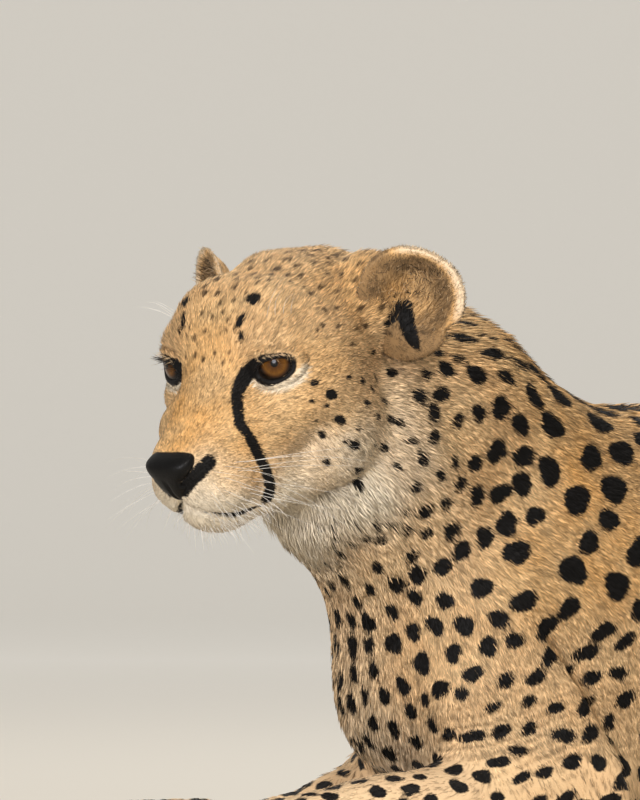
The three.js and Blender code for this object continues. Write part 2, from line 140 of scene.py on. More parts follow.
headMasses = [
    pod((-62, 0, 2), (57, 53, 55)),  # braincase
    pod((-94, 0, 6), (40, 48, 47)),  # back of the skull
    pod((-26, 0, 2), (42, 45, 45)),  # forehead
    *bothSides(lambda s: pod((-25, s * 18, 12), (36, 30, 36))),  # domes of the forehead
    limb((-1, 0, -6, 23), (44, 0, -48, 17), 1.1),  # bridge of the nose
    limb((-6, 0, -42, 33), (33, 0, -58, 25)),  # upper jaw
    pod((23, 0, -80), (22, 17, 13)),  # chin
    *bothSides(lambda s: pod((-13, s * 31, 13), (19, 20, 12))),  # brow
    *bothSides(lambda s: pod((-40, s * 34, -2), (40, 25, 26))),  # temple
    *bothSides(lambda s: pod((-34, s * 38, -21), (39, 24, 23))),  # cheekbone
    *bothSides(lambda s: pod((9, s * 19, -34), (28, 18, 20))),  # side of the upper jaw
    *bothSides(lambda s: pod((-54, s * 35, -44), (34, 27, 31))),  # jaw muscle
    *bothSides(lambda s: pod((-8, s * 29, -36), (25, 16, 18))),  # below the cheekbone
    *bothSides(lambda s: pod((30, s * 16, -61), (20, 18.5, 18))),  # whisker pad
    *bothSides(lambda s: limb((22, s * 7, -80, 11), (-50, s * 34, -62, 20))),  # lower jaw
    *bothSides(lambda s: pod((37, s * 10, -47), (19, 13, 14))),  # beside the nose
    *bothSides(lambda s: pod((0, s * 20, -60), (24, 15, 22))),  # between lip and cheek
    *bothSides(lambda s: pod((-94, s * 38, 21), (28, 24, 29))),  # beside the crown, under the ears
]
# Each is [forward, left, up, radius] along a groove in the skin
mouthLine = [
    (53, 0, -69, 1.0), (49, 5, -74, 1.3), (41, 14, -80, 1.4),
    (31, 24, -85, 1.3), (21, 29, -86, 1.2), (12, 30, -84, 0.8),
]
headHollows = [
    *bothSides(lambda s: pod((11, s * 41, -1), (11, 16, 11))),  # eye sockets
    limb((58, 0, -64, 1.2), (53, 0, -70, 1.4)),  # the parting under the nose
]
for side in (-1, 1):
    stations = [(f, side * l, z, r) for f, l, z, r in mouthLine]
    headHollows += [limb(a, b) for a, b in zip(stations, stations[1:])]


def headField(q):
    d = np.full(len(q), 1e3)
    for mass in headMasses:
        d = blend(d, mass(q), 9)
    for i, hollow in enumerate(headHollows):
        d = -blend(-d, hollow(q), 5 if i < 2 else 1.6)
    return d


combSettings = {
    "near": 12.0,  # how far one comb rules before its neighbours share in
    "batch": 20000,  # points worked out together
    "smoothing": 24,
}
spotSettings = {
    "size": 1.27,  # times what the combs say
    "gap": 0.84,
    "tries": 60000,  # places tried for a spot
    "uneven": (0.82, 1.16),  # from the smallest spot to the largest at one place
    "faceLong": 1.2,  # times what the list of the face's spots says
    "faceBroad": 1.25,
    "fleckGap": 0.62,  # the faint flecks stand closer than the spots
}

# place, lie, hair length, lift from the skin in degrees, paleness, spot length and breadth (half), gap
headCombs = [
    ((52, 0, -36), (-1, 0, 0.35), 3, 12, -0.06, 0, 0, 0),
    ((28, 0, -14), (-0.85, 0, 0.55), 4, 14, -0.1, 0, 0, 0),
    ((4, 0, 12), (-0.65, 0, 0.76), 5.5, 16, 0.0, 1.6, 1.1, 10),
    ((-22, 0, 46), (-0.95, 0, 0.3), 7, 18, 0.1, 2.2, 1.5, 10),
    ((-62, 0, 60), (-1, 0, -0.05), 8, 20, 0.15, 2.8, 1.8, 10),
    ((-105, 0, 50), (-0.9, 0, -0.4), 10, 22, 0.1, 3.4, 2, 11),
    ((48, 9, -62), (-0.5, 0.6, -0.5), 3.5, 15, 0.7, 0, 0, 0),
    ((46, 10, -68), (-0.5, 0.6, -0.5), 3.5, 15, 1.0, 0, 0, 0),
    ((36, 24, -72), (-0.7, 0.5, -0.5), 4, 15, 1.0, 0, 0, 0),
    ((40, 28, -56), (-0.85, 0.35, -0.2), 4, 14, 0.22, 0, 0, 0),
    ((25, 36, -62), (-0.9, 0.2, -0.3), 4.5, 15, 0.02, 0, 0, 0),
    ((24, 38, -74), (-0.85, 0.2, -0.45), 5, 17, 0.75, 0, 0, 0),
    ((28, 28, -36), (-0.9, 0.2, 0.1), 4, 13, -0.02, 0, 0, 0),
    ((8, 38, -30), (-0.95, 0.2, -0.1), 5, 14, 0.06, 0, 0, 0),
    ((-6, 44, -20), (-0.95, 0.25, -0.1), 4.5, 14, 0.06, 0, 0, 0),
    ((-22, 55, -4), (-1, 0.1, 0.1), 5, 15, 0.05, 0, 0, 0),
    ((0, 36, 18), (-0.5, 0.35, 0.75), 6, 24, 0.12, 0, 0, 0),
    ((-14, 44, 26), (-0.7, 0.3, 0.5), 6.5, 20, 0.1, 0, 0, 0),
    ((-40, 58, 14), (-0.95, 0.05, 0.2), 7, 20, 0.12, 1.6, 1.2, 12),
    ((-66, 56, 40), (-0.7, 0.3, 0.6), 8, 20, 0.0, 1.8, 1.2, 11),
    ((-30, 62, -30), (-0.9, 0.1, -0.35), 6.5, 16, 0.15, 3, 2.2, 15),
    ((-62, 66, -25), (-0.9, 0.1, -0.3), 8, 18, 0.2, 3, 2.2, 15),
    ((-20, 48, -60), (-0.85, 0.05, -0.5), 7, 16, 0.5, 0, 0, 0),
    ((-40, 60, -62), (-0.75, 0.05, -0.65), 9, 18, 0.75, 3, 2.2, 16),
    ((0, 42, -84), (-0.85, 0.05, -0.5), 8, 19, 0.95, 0, 0, 0),
    ((-82, 58, -60), (-0.7, 0.1, -0.7), 11, 20, 0.5, 3, 2.2, 15),
    ((30, 8, -93), (-0.8, 0.1, -0.5), 5, 18, 0.85, 0, 0, 0),
    ((-20, 12, -98), (-0.8, 0, -0.6), 9, 17, 1.0, 0, 0, 0),
    ((-60, 0, -108), (-0.5, 0, -0.85), 16, 23, 1.0, 0, 0, 0),
    ((-60, 40, -95), (-0.6, 0.1, -0.8), 14, 21, 0.95, 0, 0, 0),
]
bodyCombs = [
    ((-95, 0, 320), (0.95, 0, -0.3), 12, 20, 0.05, 5, 2.6, 13),
    ((-50, 0, 322), (0.93, 0, -0.36), 15, 25, 0.05, 7, 3, 15),
    ((-10, 20, 300), (0.95, 0, -0.3), 13, 23, 0.0, 8, 3.8, 18),
    ((30, 0, 284), (0.97, 0, -0.2), 12, 20, -0.1, 8.4, 5, 20),
    ((-92, 62, 268), (0.85, 0.1, -0.5), 9, 17, 0.12, 3.2, 5, 15),
    ((-45, 66, 235), (0.78, 0.15, -0.62), 9, 15, 0.1, 4.4, 6.4, 19),
    ((-120, 50, 215), (0.7, 0.2, -0.7), 10, 18, 0.15, 3, 4.8, 14),
    ((-143, 50, 190), (0.5, 0.2, -0.8), 9, 17, 0.18, 3.6, 4.4, 15),
    ((-165, 0, 212), (0.35, 0, -0.94), 16, 24, 1.1, 0, 0, 0),
    ((-125, 25, 180), (0.25, 0.1, -0.95), 10, 18, 0.25, 4.8, 3.6, 16),
    ((-122, 0, 140), (0.12, 0, -1), 10, 18, 0.32, 5, 3.8, 16),
    ((-95, 52, 140), (0.3, 0.2, -0.93), 8.5, 15, 0.14, 5, 4.6, 17),
    ((-100, 0, 66), (0.3, 0, -0.95), 11, 18, 0.45, 5, 4, 18),
    ((-20, 76, 190), (0.72, 0.1, -0.68), 8.5, 14, -0.03, 6.2, 8.2, 25),
    ((15, 50, 250), (0.85, 0.1, -0.5), 9, 15, -0.12, 6.2, 8.2, 25),
    ((-15, 98, 120), (0.4, 0.1, -0.9), 7.5, 14, 0.15, 3.1, 6.6, 18),
    ((-60, 84, 90), (0.3, 0.1, -0.93), 7.5, 14, 0.2, 2.8, 6, 16),
    ((-60, 100, 66), (0.3, 0.1, -0.93), 7.5, 14, 0.2, 2.8, 6, 16),
    ((10, 112, 60), (0.1, 0.1, -1), 8, 15, 0.2, 5, 6.2, 20),
    ((-120, 112, 56), (-0.9, 0, -0.3), 6, 13, 0.3, 4.6, 3.8, 15),
    ((-150, 88, 66), (-1, 0, -0.05), 6, 13, 0.3, 4.6, 3.8, 15),
    ((-220, 88, 50), (-1, 0, -0.1), 5, 12, 0.35, 4, 3.4, 13),
    ((-305, 88, 34), (-1, 0, -0.3), 4.5, 12, 0.4, 3, 2.6, 12),
    ((120, 92, 160), (0.95, 0, -0.3), 9, 14, -0.04, 7, 7, 23),
    ((150, 0, 274), (1, 0, -0.05), 10, 16, -0.1, 8, 6, 22),
    ((150, 80, 40), (0.9, 0, -0.4), 13, 18, 0.7, 6, 5, 24),
    ((300, 90, 130), (0.9, 0, -0.4), 11, 16, 0.2, 7.5, 6, 23),
    ((330, 0, 258), (1, 0, 0), 10, 16, 0.0, 8, 6, 22),
    ((480, 0, 256), (0.95, 0, -0.3), 10, 16, 0.0, 8, 6.2, 22),
    ((430, 114, 160), (0.6, 0.1, -0.8), 9, 14, 0.08, 8, 6.5, 23),
    ((320, 128, 105), (0.3, 0, -0.9), 9, 15, 0.2, 6.4, 5.2, 20),
    ((440, 134, 70), (0.9, 0, -0.3), 7.5, 13, 0.2, 6, 5, 19),
    ((565, 108, 44), (0.3, 0, -0.9), 7, 14, 0.25, 4, 3.4, 16),
    ((450, 118, 30), (-1, 0, -0.1), 5, 12, 0.35, 4, 3.2, 14),
    ((365, 118, 26), (-1, 0, -0.3), 4.5, 12, 0.4, 3, 2.6, 12),
]
# Forward, left and up along the tail's middle, from its root to its tip
tailPath = [
    (592, 4, 150), (648, 10, 82), (702, 4, 27), (748, -50, 21), (738, -132, 20),
    (672, -192, 20), (580, -222, 20), (490, -240, 20), (412, -246, 21), (380, -249, 21),
]


def combTable():
    rows = []
    for place, lie, *rest in headCombs:
        for s in (-1, 1) if place[1] else (1,):
            mirror = np.array((1, s, 1))
            rows.append((*fromHead(place * mirror), *(np.array(lie) * mirror @ headAxes), *rest))
    for place, lie, *rest in bodyCombs:
        for s in (-1, 1) if place[1] else (1,):
            mirror = np.array((1, s, 1))
            rows.append((*(bodyOrigin + place * mirror), *(lie * mirror), *rest))
    for a, b in zip(tailPath, tailPath[1:]):
        a, b = np.array(a, float), np.array(b, float)
        share = (a[0] < 600) * (a[1] < -150)  # the last stretch, towards the white tip
        pale = 0.1 + 0.25 * share + 0.6 * (a[0] < 420)
        rows.append((*(bodyOrigin + a), *unit(b - a), 13, 18, pale, 7, 6, 20))
    table = np.array(rows)
    table[:, 9:11] *= spotSettings["size"]
    table[:, 11] *= spotSettings["gap"]
    return table


combs = combTable()


# The combs' columns at each point, weighed by nearness.
def combed(points):
    out = np.empty((len(points), combs.shape[1] - 3))
    batch = combSettings["batch"]
    for i in range(0, len(points), batch):
        p = points[i : i + batch]
        away = ((p[:, None, :] - combs[None, :, :3]) ** 2).sum(2)
        weight = 1 / (away + combSettings["near"] ** 2) ** 3
        out[i : i + batch] = weight @ combs[:, 3:] / weight.sum(1)[:, None]
    return out


skinSettings = {
    "voxel": 5.0,
    "bodySmoothing": 22,
    "headSmoothing": 6,
    "faceBack": -40,  # the face is drawn finest forward of this
    "headBack": -112,
    "headFloor": -104,  # and above this
    "pawsFlatter": 0.07,  # the forepaws press a little flatter than their nodes
}


def meshFrom(bm, name):
    mesh = bpy.data.meshes.new(name)
    bm.to_mesh(mesh)
    bm.free()
    return mesh


def placed(name, mesh):
    obj = bpy.data.objects.new(name, mesh)
    scene.collection.objects.link(obj)
    return obj


def readPoints(mesh):
    co = np.empty(len(mesh.vertices) * 3)
    mesh.vertices.foreach_get("co", co)
    return co.reshape(-1, 3)


def writePoints(mesh, points):
    mesh.vertices.foreach_set("co", np.asarray(points, np.float32).ravel())
    mesh.update()


def readNormals(mesh):
    normals = np.empty(len(mesh.vertices) * 3, np.float32)
    mesh.vertex_normals.foreach_get("vector", normals)
    return normals.reshape(-1, 3).astype(float)


def neighbours(mesh):
    edges = np.empty(len(mesh.edges) * 2, np.int64)
    mesh.edges.foreach_get("vertices", edges)
    edges = edges.reshape(-1, 2)
    count = np.bincount(edges.ravel(), minlength=len(mesh.vertices)).astype(float)
    return edges, np.maximum(count, 1)[:, None]


# Each value drawn towards the mean of its neighbours' values.
def smoothed(values, edges, count, amount, times):
    ends, others = edges.ravel(), edges[:, ::-1].ravel()
    for _ in range(times):
        total = [np.bincount(ends, column, minlength=len(values)) for column in values[others].T]
        values = values + amount * (np.stack(total, 1) / count - values)
    return values


def headMatrix(centre, radii):
    turn = Matrix(headAxes.T.tolist()).to_4x4()
    place = Matrix.Translation(Vector(fromHead(centre) * mm))
    return place @ turn @ Matrix.Diagonal((*(np.array(radii) * mm), 1))


def fleshNames():
    apart = ("eye_", "nose", "ear_", "head", "muzzle", "lower_jaw")
    return [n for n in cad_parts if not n.startswith(apart) and "_claw_" not in n]


# The flesh nodes and balls for the head, joined into one closed skin.
def roughSkin():
    bm = bmesh.new()
    for name in fleshNames():
        bm.from_mesh(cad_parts[name].data)
    bmesh.ops.remove_doubles(bm, verts=bm.verts, dist=1e-6)
    balls = [
        ((-62, 0, 2), (55, 51, 53)), ((-94, 0, 6), (38, 46, 45)), ((-26, 0, 2), (40, 43, 43)),
        ((0, 0, -8), (22, 24, 22)), ((24, 0, -30), (19, 20, 19)), ((42, 0, -46), (15, 17, 15)),
        ((-6, 0, -42), (31, 31, 31)), ((16, 0, -51), (26, 26, 26)), ((33, 0, -58), (22, 22, 22)),
        ((20, 0, -79), (21, 16, 13)), ((0, 0, -72), (30, 22, 18)), ((-30, 0, -66), (36, 40, 26)),
    ]
    for s in (-1, 1):
        balls += [
            ((-25, s * 18, 12), (34, 28, 34)), ((-40, s * 34, -2), (38, 23, 24)),
            ((-99, s * 45, 14), (16, 20, 28)), ((-34, s * 38, -21), (37, 22, 21)),
            ((-54, s * 35, -44), (32, 25, 29)), ((32, s * 16, -61), (18, 16, 15)),
            ((-94, s * 38, 20), (26, 22, 26)), ((-13, s * 31, 10), (17, 18, 12)),
            ((10, s * 20, -34), (26, 17, 19)), ((-30, s * 26, -64), (24, 16, 17)),
        ]
    matrices = [headMatrix(centre, radii) for centre, radii in balls]
    masses = [((80, 0, 258), (100, 36, 24)), ((-56, 0, 306), (42, 32, 36))]  # withers and nape
    for s, back in ((-1, 0), (1, 34)):  # from the upper arm to the forearm; the far one lies farther back
        masses += [((back - 48, s * 74, 104), (60, 24, 40)), ((back - 50, s * 84, 60), (58, 26, 30))]
    masses.append(((-92, -82, 50), (42, 24, 22)))
    for centre, radii in masses:
        place = Matrix.Translation(Vector((bodyOrigin + centre) * mm))
        matrices.append(place @ Matrix.Diagonal((*(np.array(radii) * mm), 1)))
    for matrix in matrices:
        bmesh.ops.create_uvsphere(bm, u_segments=24, v_segments=14, radius=1, matrix=matrix)
    rough = placed("roughSkin", meshFrom(bm, "roughSkin"))
    remesh = rough.modifiers.new("remesh", "REMESH")
    remesh.mode = "VOXEL"
    remesh.voxel_size = skinSettings["voxel"] * mm
    graph = bpy.context.evaluated_depsgraph_get()
    mesh = bpy.data.meshes.new_from_object(rough.evaluated_get(graph))
    bpy.data.objects.remove(rough)
    return mesh


# Only the largest connected piece is skin.
def keepLargest(bm):
    left = set(bm.verts)
    best = set()
    while left:
        seed = left.pop()
        group, queue = {seed}, [seed]
        while queue:
            for edge in queue.pop().link_edges:
                for v in edge.verts:
                    if v in left:
                        left.discard(v)
                        group.add(v)
                        queue.append(v)
        best = max(best, group, key=len)
    bmesh.ops.delete(bm, geom=[v for v in bm.verts if v not in best], context="VERTS")


def inHeadAhead(points, back):
    q = intoHead(points)
    return (q[:, 0] > back) & (q[:, 2] > skinSettings["headFloor"]) & (np.abs(q[:, 1]) < 95)


foldSettings = {"deep": 2.3, "apart": 12.0, "rise": 0.22, "low": (-128, 50), "high": (0, 128)}


# Where the skin of the bent arm is folded: 1 amid the folds, 0 outside them.
def foldShare(points):
    w = points - bodyOrigin
    (x0, z0), (x1, z1) = foldSettings["low"], foldSettings["high"]
    across = ease(x0, x0 + 40, w[:, 0]) * ease(x1, x1 - 50, w[:, 0])
    return across * ease(z0, z0 + 22, w[:, 2]) * ease(z1, z1 - 45, w[:, 2]) * (np.abs(w[:, 1]) > 60)


# The edge behind the upper arm: its path, back and up, and how deep the flank lies under it
armEdge = {"path": [(-52, 160), (-17, 110), (6, 72), (13, 40)], "deep": 10.0, "groove": 7.0}


# How deep the flank lies under the rear edge of the upper arm.
def behindArm(points):
    w = points - bodyOrigin
    p = w[:, (0, 2)]
    best, signed = np.full(len(p), 1e3), np.full(len(p), 1e3)
    for a, b in zip(armEdge["path"], armEdge["path"][1:]):
        a, along = np.array(a, float), np.subtract(b, a).astype(float)
        t = np.clip((p - a) @ along / (along @ along), 0, 1)
        away = p - a - t[:, None] * along
        d = np.linalg.norm(away, axis=1)
        behind = np.where(away @ (-along[1], along[0]) > 0, d, -d)
        signed = np.where(d < best, behind, signed)
        best = np.minimum(best, d)
    step = ease(-3, 6, signed) * (1 - ease(8, 80, signed))
    groove = np.exp(-(((signed - 4) / 4.5) ** 2))
    share = ease(172, 128, w[:, 2]) * ease(50, 70, np.abs(w[:, 1]))
    return (armEdge["deep"] * step + armEdge["groove"] * groove) * share


# The mesh with one more cut in every edge between chosen vertices.
def subdivided(mesh, flags):
    bm = bmesh.new()
    bm.from_mesh(mesh)
    bm.verts.ensure_lookup_table()
    edges = [e for e in bm.edges if flags[e.verts[0].index] and flags[e.verts[1].index]]
    bmesh.ops.subdivide_edges(bm, edges=edges, cuts=1, use_grid_fill=True)
    return meshFrom(bm, mesh.name)


# Moves points that are near the head's surface onto it, sunk by depth.
def ontoHead(points, depth, steps=3):
    points = points.copy()
    back = skinSettings["headBack"]
    for _ in range(steps):
        q = intoHead(points)
        near = (q[:, 0] > back - 12) & (q[:, 2] > -125)
        q, sunk = q[near], depth[near]
        d = headField(q) + sunk
        step = 0.4
        slope = np.stack([headField(q + step * axis) + sunk - d for axis in np.eye(3)], 1) / step
        share = ease(back - 12, back + 22, q[:, 0]) * (1 - ease(9, 17, np.abs(d)))
        move = -(d * share / np.maximum((slope**2).sum(1), 0.25))[:, None] * slope
        points[near] += move @ headAxes
    return points


def makeSkin():
    back = skinSettings["headBack"]
    rough = roughSkin()
    bm = bmesh.new()
    bm.from_mesh(rough)
    keepLargest(bm)
    mesh = meshFrom(bm, "skin")
    points = readPoints(mesh) / mm
    edges, count = neighbours(mesh)
    inBody = 1 - ease(back - 30, back + 10, intoHead(points)[:, 0])
    even = smoothed(points, edges, count, 0.5, skinSettings["bodySmoothing"])
    light = smoothed(points, edges, count, 0.5, skinSettings["headSmoothing"])
    print("rough skin", len(points), "vertices")
    points = light + inBody[:, None] * (even - light)
    writePoints(mesh, points * mm)
    fine = inHeadAhead(points, back - 6) | (foldShare(points) > 0.05) | (behindArm(points) > 7)
    mesh = subdivided(mesh, fine)
    mesh = subdivided(mesh, inHeadAhead(readPoints(mesh) / mm, skinSettings["faceBack"]))
    points = readPoints(mesh) / mm
    edges, count = neighbours(mesh)
    for _ in range(3):
        table = combed(points)
        depth = coatDepth(table)
        points = ontoHead(points, depth)
        head = ease(back - 6, back + 10, intoHead(points)[:, 0])[:, None]
        points += head * (smoothed(points, edges, count, 0.5, 2) - points)
    points = ontoHead(points, depth)
    writePoints(mesh, points * mm)
    q = intoHead(points)
    sink = depth * (1 - ease(back - 12, back + 22, q[:, 0]))
    nape = ease(-136, -108, q[:, 0]) * ease(-42, -68, q[:, 0]) * ease(-8, -34, q[:, 2])
    points += nape[:, None] * (smoothed(points, edges, count, 0.5, 70) - points)
    writePoints(mesh, points * mm)
    w = points - bodyOrigin
    wander = w[:, 2] - foldSettings["rise"] * w[:, 0] + 3 * np.sin(w[:, 0] / 17)
    wave = np.sin(2 * math.pi * wander / foldSettings["apart"])
    sink = sink + foldSettings["deep"] * foldShare(points) * (1 - np.abs(wave)) ** 1.5 + behindArm(points)
    points -= readNormals(mesh) * sink[:, None]
    paws = ease(-425, -465, points[:, 0]) * ease(130, 90, points[:, 2])
    points[:, 2] *= 1 - skinSettings["pawsFlatter"] * paws
    writePoints(mesh, points * mm)
    return mesh


# How deep the skin lies below the tips of hair of this length and lift.
def coatDepth(table):
    return 0.4 + table[:, 3] * np.sin(np.radians(table[:, 4])) * 0.75


earSettings = {
    "place": (-84, 76, 22),  # of the left ear, in the head's axes
    "radius": 31.5,
    "lower": 1.1,  # how much longer it is below the middle
    "hollow": 16,
    "wall": 3.4,
    "turn": 38,  # degrees outward
    "tilt": -8,
    "rings": 16,
    "around": 56,
}


# How far the cup lies behind its rim. Its front edge is sunk into the head.
def earFloor(reach, around):
    sunk = 31 * reach**2 * np.exp(-(((around % (2 * math.pi) - 4.05) / 0.95) ** 2))
    return -sunk - earSettings["hollow"] * np.cos(np.clip(reach, 0, 1) * math.pi / 2) ** 1.2


# A place on the ear's cup: reach runs from 0 at its middle to 1 at its rim.
def earPoint(reach, around, side, lift=0.0):
    e = earSettings
    y, z = math.cos(around) * reach, math.sin(around) * reach
    pocket = 0.16 * math.exp(-(((around + 0.75) / 0.16) ** 2))  # the notch low on the outer edge
    size = e["radius"] * (1 - pocket * reach**4) * (1 + 0.03 * math.cos(3 * around))
    curl = 3.5 * reach**6 * max(0, math.sin(around))  # the top of the rim leans forward
    folds = 2.2 * math.cos(3 * around - 0.6) * math.exp(-(((reach - 0.62) / 0.16) ** 2))
    depth = curl + folds + lift + earFloor(reach, around)
    local = Vector((depth, y * size * side, z * size * (e["lower"] if z < 0 else 1)))
    local.rotate(Matrix.Rotation(math.radians(e["tilt"]), 3, "Y"))
    local.rotate(Matrix.Rotation(math.radians(side * e["turn"]), 3, "Z"))
    x, y, z = e["place"]
    return fromHead(np.array((x, side * y, z)) + np.array(local))


# The same mesh, with its points and faces in an order that every run repeats.
def inOrder(mesh):
    points = readPoints(mesh)
    order = np.argsort(points @ (0.61, 0.53, 0.59), kind="stable")
    rank = np.argsort(order)
    faces = []
    for polygon in mesh.polygons:
        face = rank[list(polygon.vertices)].tolist()
        first = face.index(min(face))
        faces.append(face[first:] + face[:first])
    ordered = bpy.data.meshes.new(mesh.name)
    ordered.from_pydata(points[order].tolist(), [], sorted(faces))
    return ordered


def edgesWithin(bm, verts):
    return [e for e in bm.edges if all(v in verts for v in e.verts)]


# A cup drawn on a disc of rings, then given its wall.
def addEar(bm, side):
    rings, around = earSettings["rings"], earSettings["around"]
    cup = bmesh.new()
    bmesh.ops.create_circle(cup, cap_ends=False, segments=around, radius=1)
    loops = [list(cup.verts)]
    for _ in range(rings - 1):
        made = bmesh.ops.extrude_edge_only(cup, edges=edgesWithin(cup, loops[-1]))
        loops.append([g for g in made["geom"] if isinstance(g, bmesh.types.BMVert)])
    angles = {v: math.atan2(v.co.y, v.co.x) for loop in loops for v in loop}
    for i, loop in enumerate(loops):
        for v in loop:
            v.co = Vector(earPoint(1 - i / rings * 0.98, angles[v], side) * mm)
    cup.verts.ensure_lookup_table()
    bmesh.ops.contextual_create(cup, geom=edgesWithin(cup, loops[-1]))
    bmesh.ops.recalc_face_normals(cup, faces=cup.faces)
    bmesh.ops.solidify(cup, geom=cup.faces[:], thickness=earSettings["wall"] * mm)
    bmesh.ops.recalc_face_normals(cup, faces=cup.faces)
    axes = {"use_axis_x": True, "use_axis_y": True, "use_axis_z": True}
    bmesh.ops.smooth_vert(cup, verts=cup.verts, factor=0.5, **axes)
    mesh = meshFrom(cup, "ear")
    ordered = inOrder(mesh)
    bm.from_mesh(ordered)
    bpy.data.meshes.remove(mesh)
    bpy.data.meshes.remove(ordered)


eyeSettings = {
    "radius": 17.5,
    "gaze": {"left": 32, "right": 24},  # degrees that each eye looks outward
    "raise": 7,  # degrees that both look up
    "slit": 30,  # degrees from straight ahead to the middle of the opening
    "halfWidth": 37,  # degrees from the middle of the opening to either corner
    "upper": 20,
    "lower": 22,
    "cornerDrop": 9,  # the inner corner lies this much lower
    "iris": 8.8,
    "pupil": 2.2,
}


# A point round the opening of an eye: turn is 0 at the outer corner and 90 at the top.
def lidPoint(side, turn, widen, distance):
    e = eyeSettings
    c, s = math.cos(turn), math.sin(turn)
    azimuth = e["halfWidth"] * widen * c
    peak = e["upper"] if s > 0 else e["lower"]
    height = peak * widen * math.copysign(abs(s) ** 0.92, s) - e["cornerDrop"] * (1 - c) / 2
    azimuth, height = math.radians(azimuth + e["slit"]), math.radians(height)
    flat = math.cos(height)
    look = np.array((flat * math.cos(azimuth), flat * math.sin(azimuth), math.sin(height)))
    point = eyeballCentre + look * (e["radius"] + distance)
    return point * np.array((1, side, 1))


lidRings = [
    # how far out from the opening, and how far above the eyeball
    (0.96, -0.8), (0.98, 0.4), (1.04, 1.1), (1.13, 1.5), (1.25, 1.5),
    (1.4, 1.9), (1.58, 2.0), (1.78, 1.2), (2.0, -0.6), (2.2, -3),
]


def addLids(bm, side):
    around = 48
    loops = []
    for widen, distance in lidRings:  # the crease lies above the lashes
        loop = []
        for i in range(around):
            turn = 2 * math.pi * i / around
            crease = -0.8 * math.exp(-(((widen - 1.25) / 0.08) ** 2)) * max(0, math.sin(turn))
            point = lidPoint(side, turn, widen, distance + crease)
            loop.append(bm.verts.new(Vector(fromHead(point) * mm)))
        loops.append(loop)
    for inner, outer in zip(loops, loops[1:]):
        for i in range(around):
            j = (i + 1) % around
            corner = (inner[i], outer[i], outer[j], inner[j])
            bm.faces.new(corner if side > 0 else corner[::-1])


skinMesh = makeSkin()
print("skin", len(skinMesh.vertices), "vertices", len(skinMesh.polygons), "faces")


def addTrim(mesh):
    bm = bmesh.new()
    bm.from_mesh(mesh)
    for side in (-1, 1):
        addEar(bm, side)
        addLids(bm, side)
    return meshFrom(bm, "skin")


bareCount = len(skinMesh.vertices)
skinMesh = addTrim(skinMesh)
print("skin with ears and lids", len(skinMesh.vertices), "vertices")


rng = np.random.default_rng(7)
tearLine = [
    # forward, left, up, half breadth, from the inner corner of the eye to the corner of the mouth
    (7, 27, -1, 4.6), (12, 23, -6, 4.6), (17, 22, -12, 3.8), (23, 26, -19, 3.4), (28, 30, -28, 3.4),
    (24, 34, -38, 3.0),
    (18, 34, -49, 3.6), (13, 33, -59, 3.8), (10, 31, -68, 4.2), (10, 30, -76, 4.8),
]
faceSpots = [
    # forward, left, up, half length, half breadth
    (-5, 25, 39, 4.0, 3.2), (5, 22, 28, 4.2, 1.9), (4, 22, 19, 2.4, 1.4), (-14, 56, -13, 2.3, 1.8),
    (-22, 59, -22, 3.6, 3.0), (-20, 57, -27, 1.8, 1.3), (-32, 55, -38, 3.8, 2.4), (-26, 46, -46, 2.6, 1.9),
    (-42, 55, -56, 3.4, 2.6), (-28, 43, -63, 2.6, 1.6), (-48, 49, -71, 3.8, 2.5), (-57, 44, -84, 4.2, 2.8),
    (-54, 56, -21, 2.6, 2.1), (-53, 58, -33, 3.0, 2.0), (-63, 57, -43, 3.0, 1.9), (-70, 50, -63, 3.2, 2.2),
    (-40, 58, -16, 1.8, 1.4), (-66, 58, -28, 2.4, 1.7), (-44, 56, -46, 2.0, 1.4), (-78, 56, -48, 3.2, 2.1),
    (-36, 52, -52, 1.7, 1.2), (-60, 52, -58, 2.2, 1.6), (-12, 50, -22, 1.6, 1.1), (-16, 50, -36, 1.5, 1.0),
]


# Bare black skin where the lids meet
innerCorner = [(7, 36, -3, 4.4), (8, 31, 1, 5.6), (9, 27, -1, 5.6), (12, 24, -6, 5.0)]


# Spots with a place, a lie, a half length and breadth, and a strength.
class Marks:
    def __init__(self):
        self.rows = []

    def add(self, place, lie, normal, long, broad, strength=1.0):
        lie = unit(lie - normal * (lie @ normal))
        across = np.cross(normal, lie)
        self.rows.append((*place, *lie, *across, long, broad, strength, *rng.uniform(0, 6.28, 2)))

    def settle(self):
        self.table = np.array(self.rows)
        self.tree = kdtree.KDTree(len(self.rows))
        for i, row in enumerate(self.rows):
            self.tree.insert(row[:3], i)
        self.tree.balance()

    # Millimetres from each point to the nearest spot's edge, negative inside it, and that spot's
    # strength.
    def distance(self, points, around=4):
        found = np.array([[hit[1] for hit in self.tree.find_n(p, around)] for p in points.tolist()])
        best = np.full(len(points), 50.0)
        strength = np.ones(len(points))
        for column in found.T:
            t = self.table[column]
            away = points - t[:, :3]
            along, across = (away * t[:, 3:6]).sum(1), (away * t[:, 6:9]).sum(1)
            over = np.sqrt(np.maximum((away**2).sum(1) - along**2 - across**2, 0))
            turn = np.arctan2(across, along)
            uneven = 1 + 0.09 * np.sin(2 * turn + t[:, 12]) + 0.08 * np.sin(3 * turn + t[:, 13])
            narrow = np.minimum(t[:, 9], t[:, 10])
            outward = (over / (2.2 * narrow)) ** 2
            reach = np.sqrt((along / t[:, 9]) ** 2 + (across / t[:, 10]) ** 2 + outward)
            d = (reach - uneven) * narrow
            strength = np.where(d < best, t[:, 11], strength)
            best = np.minimum(d, best)
        return best, strength


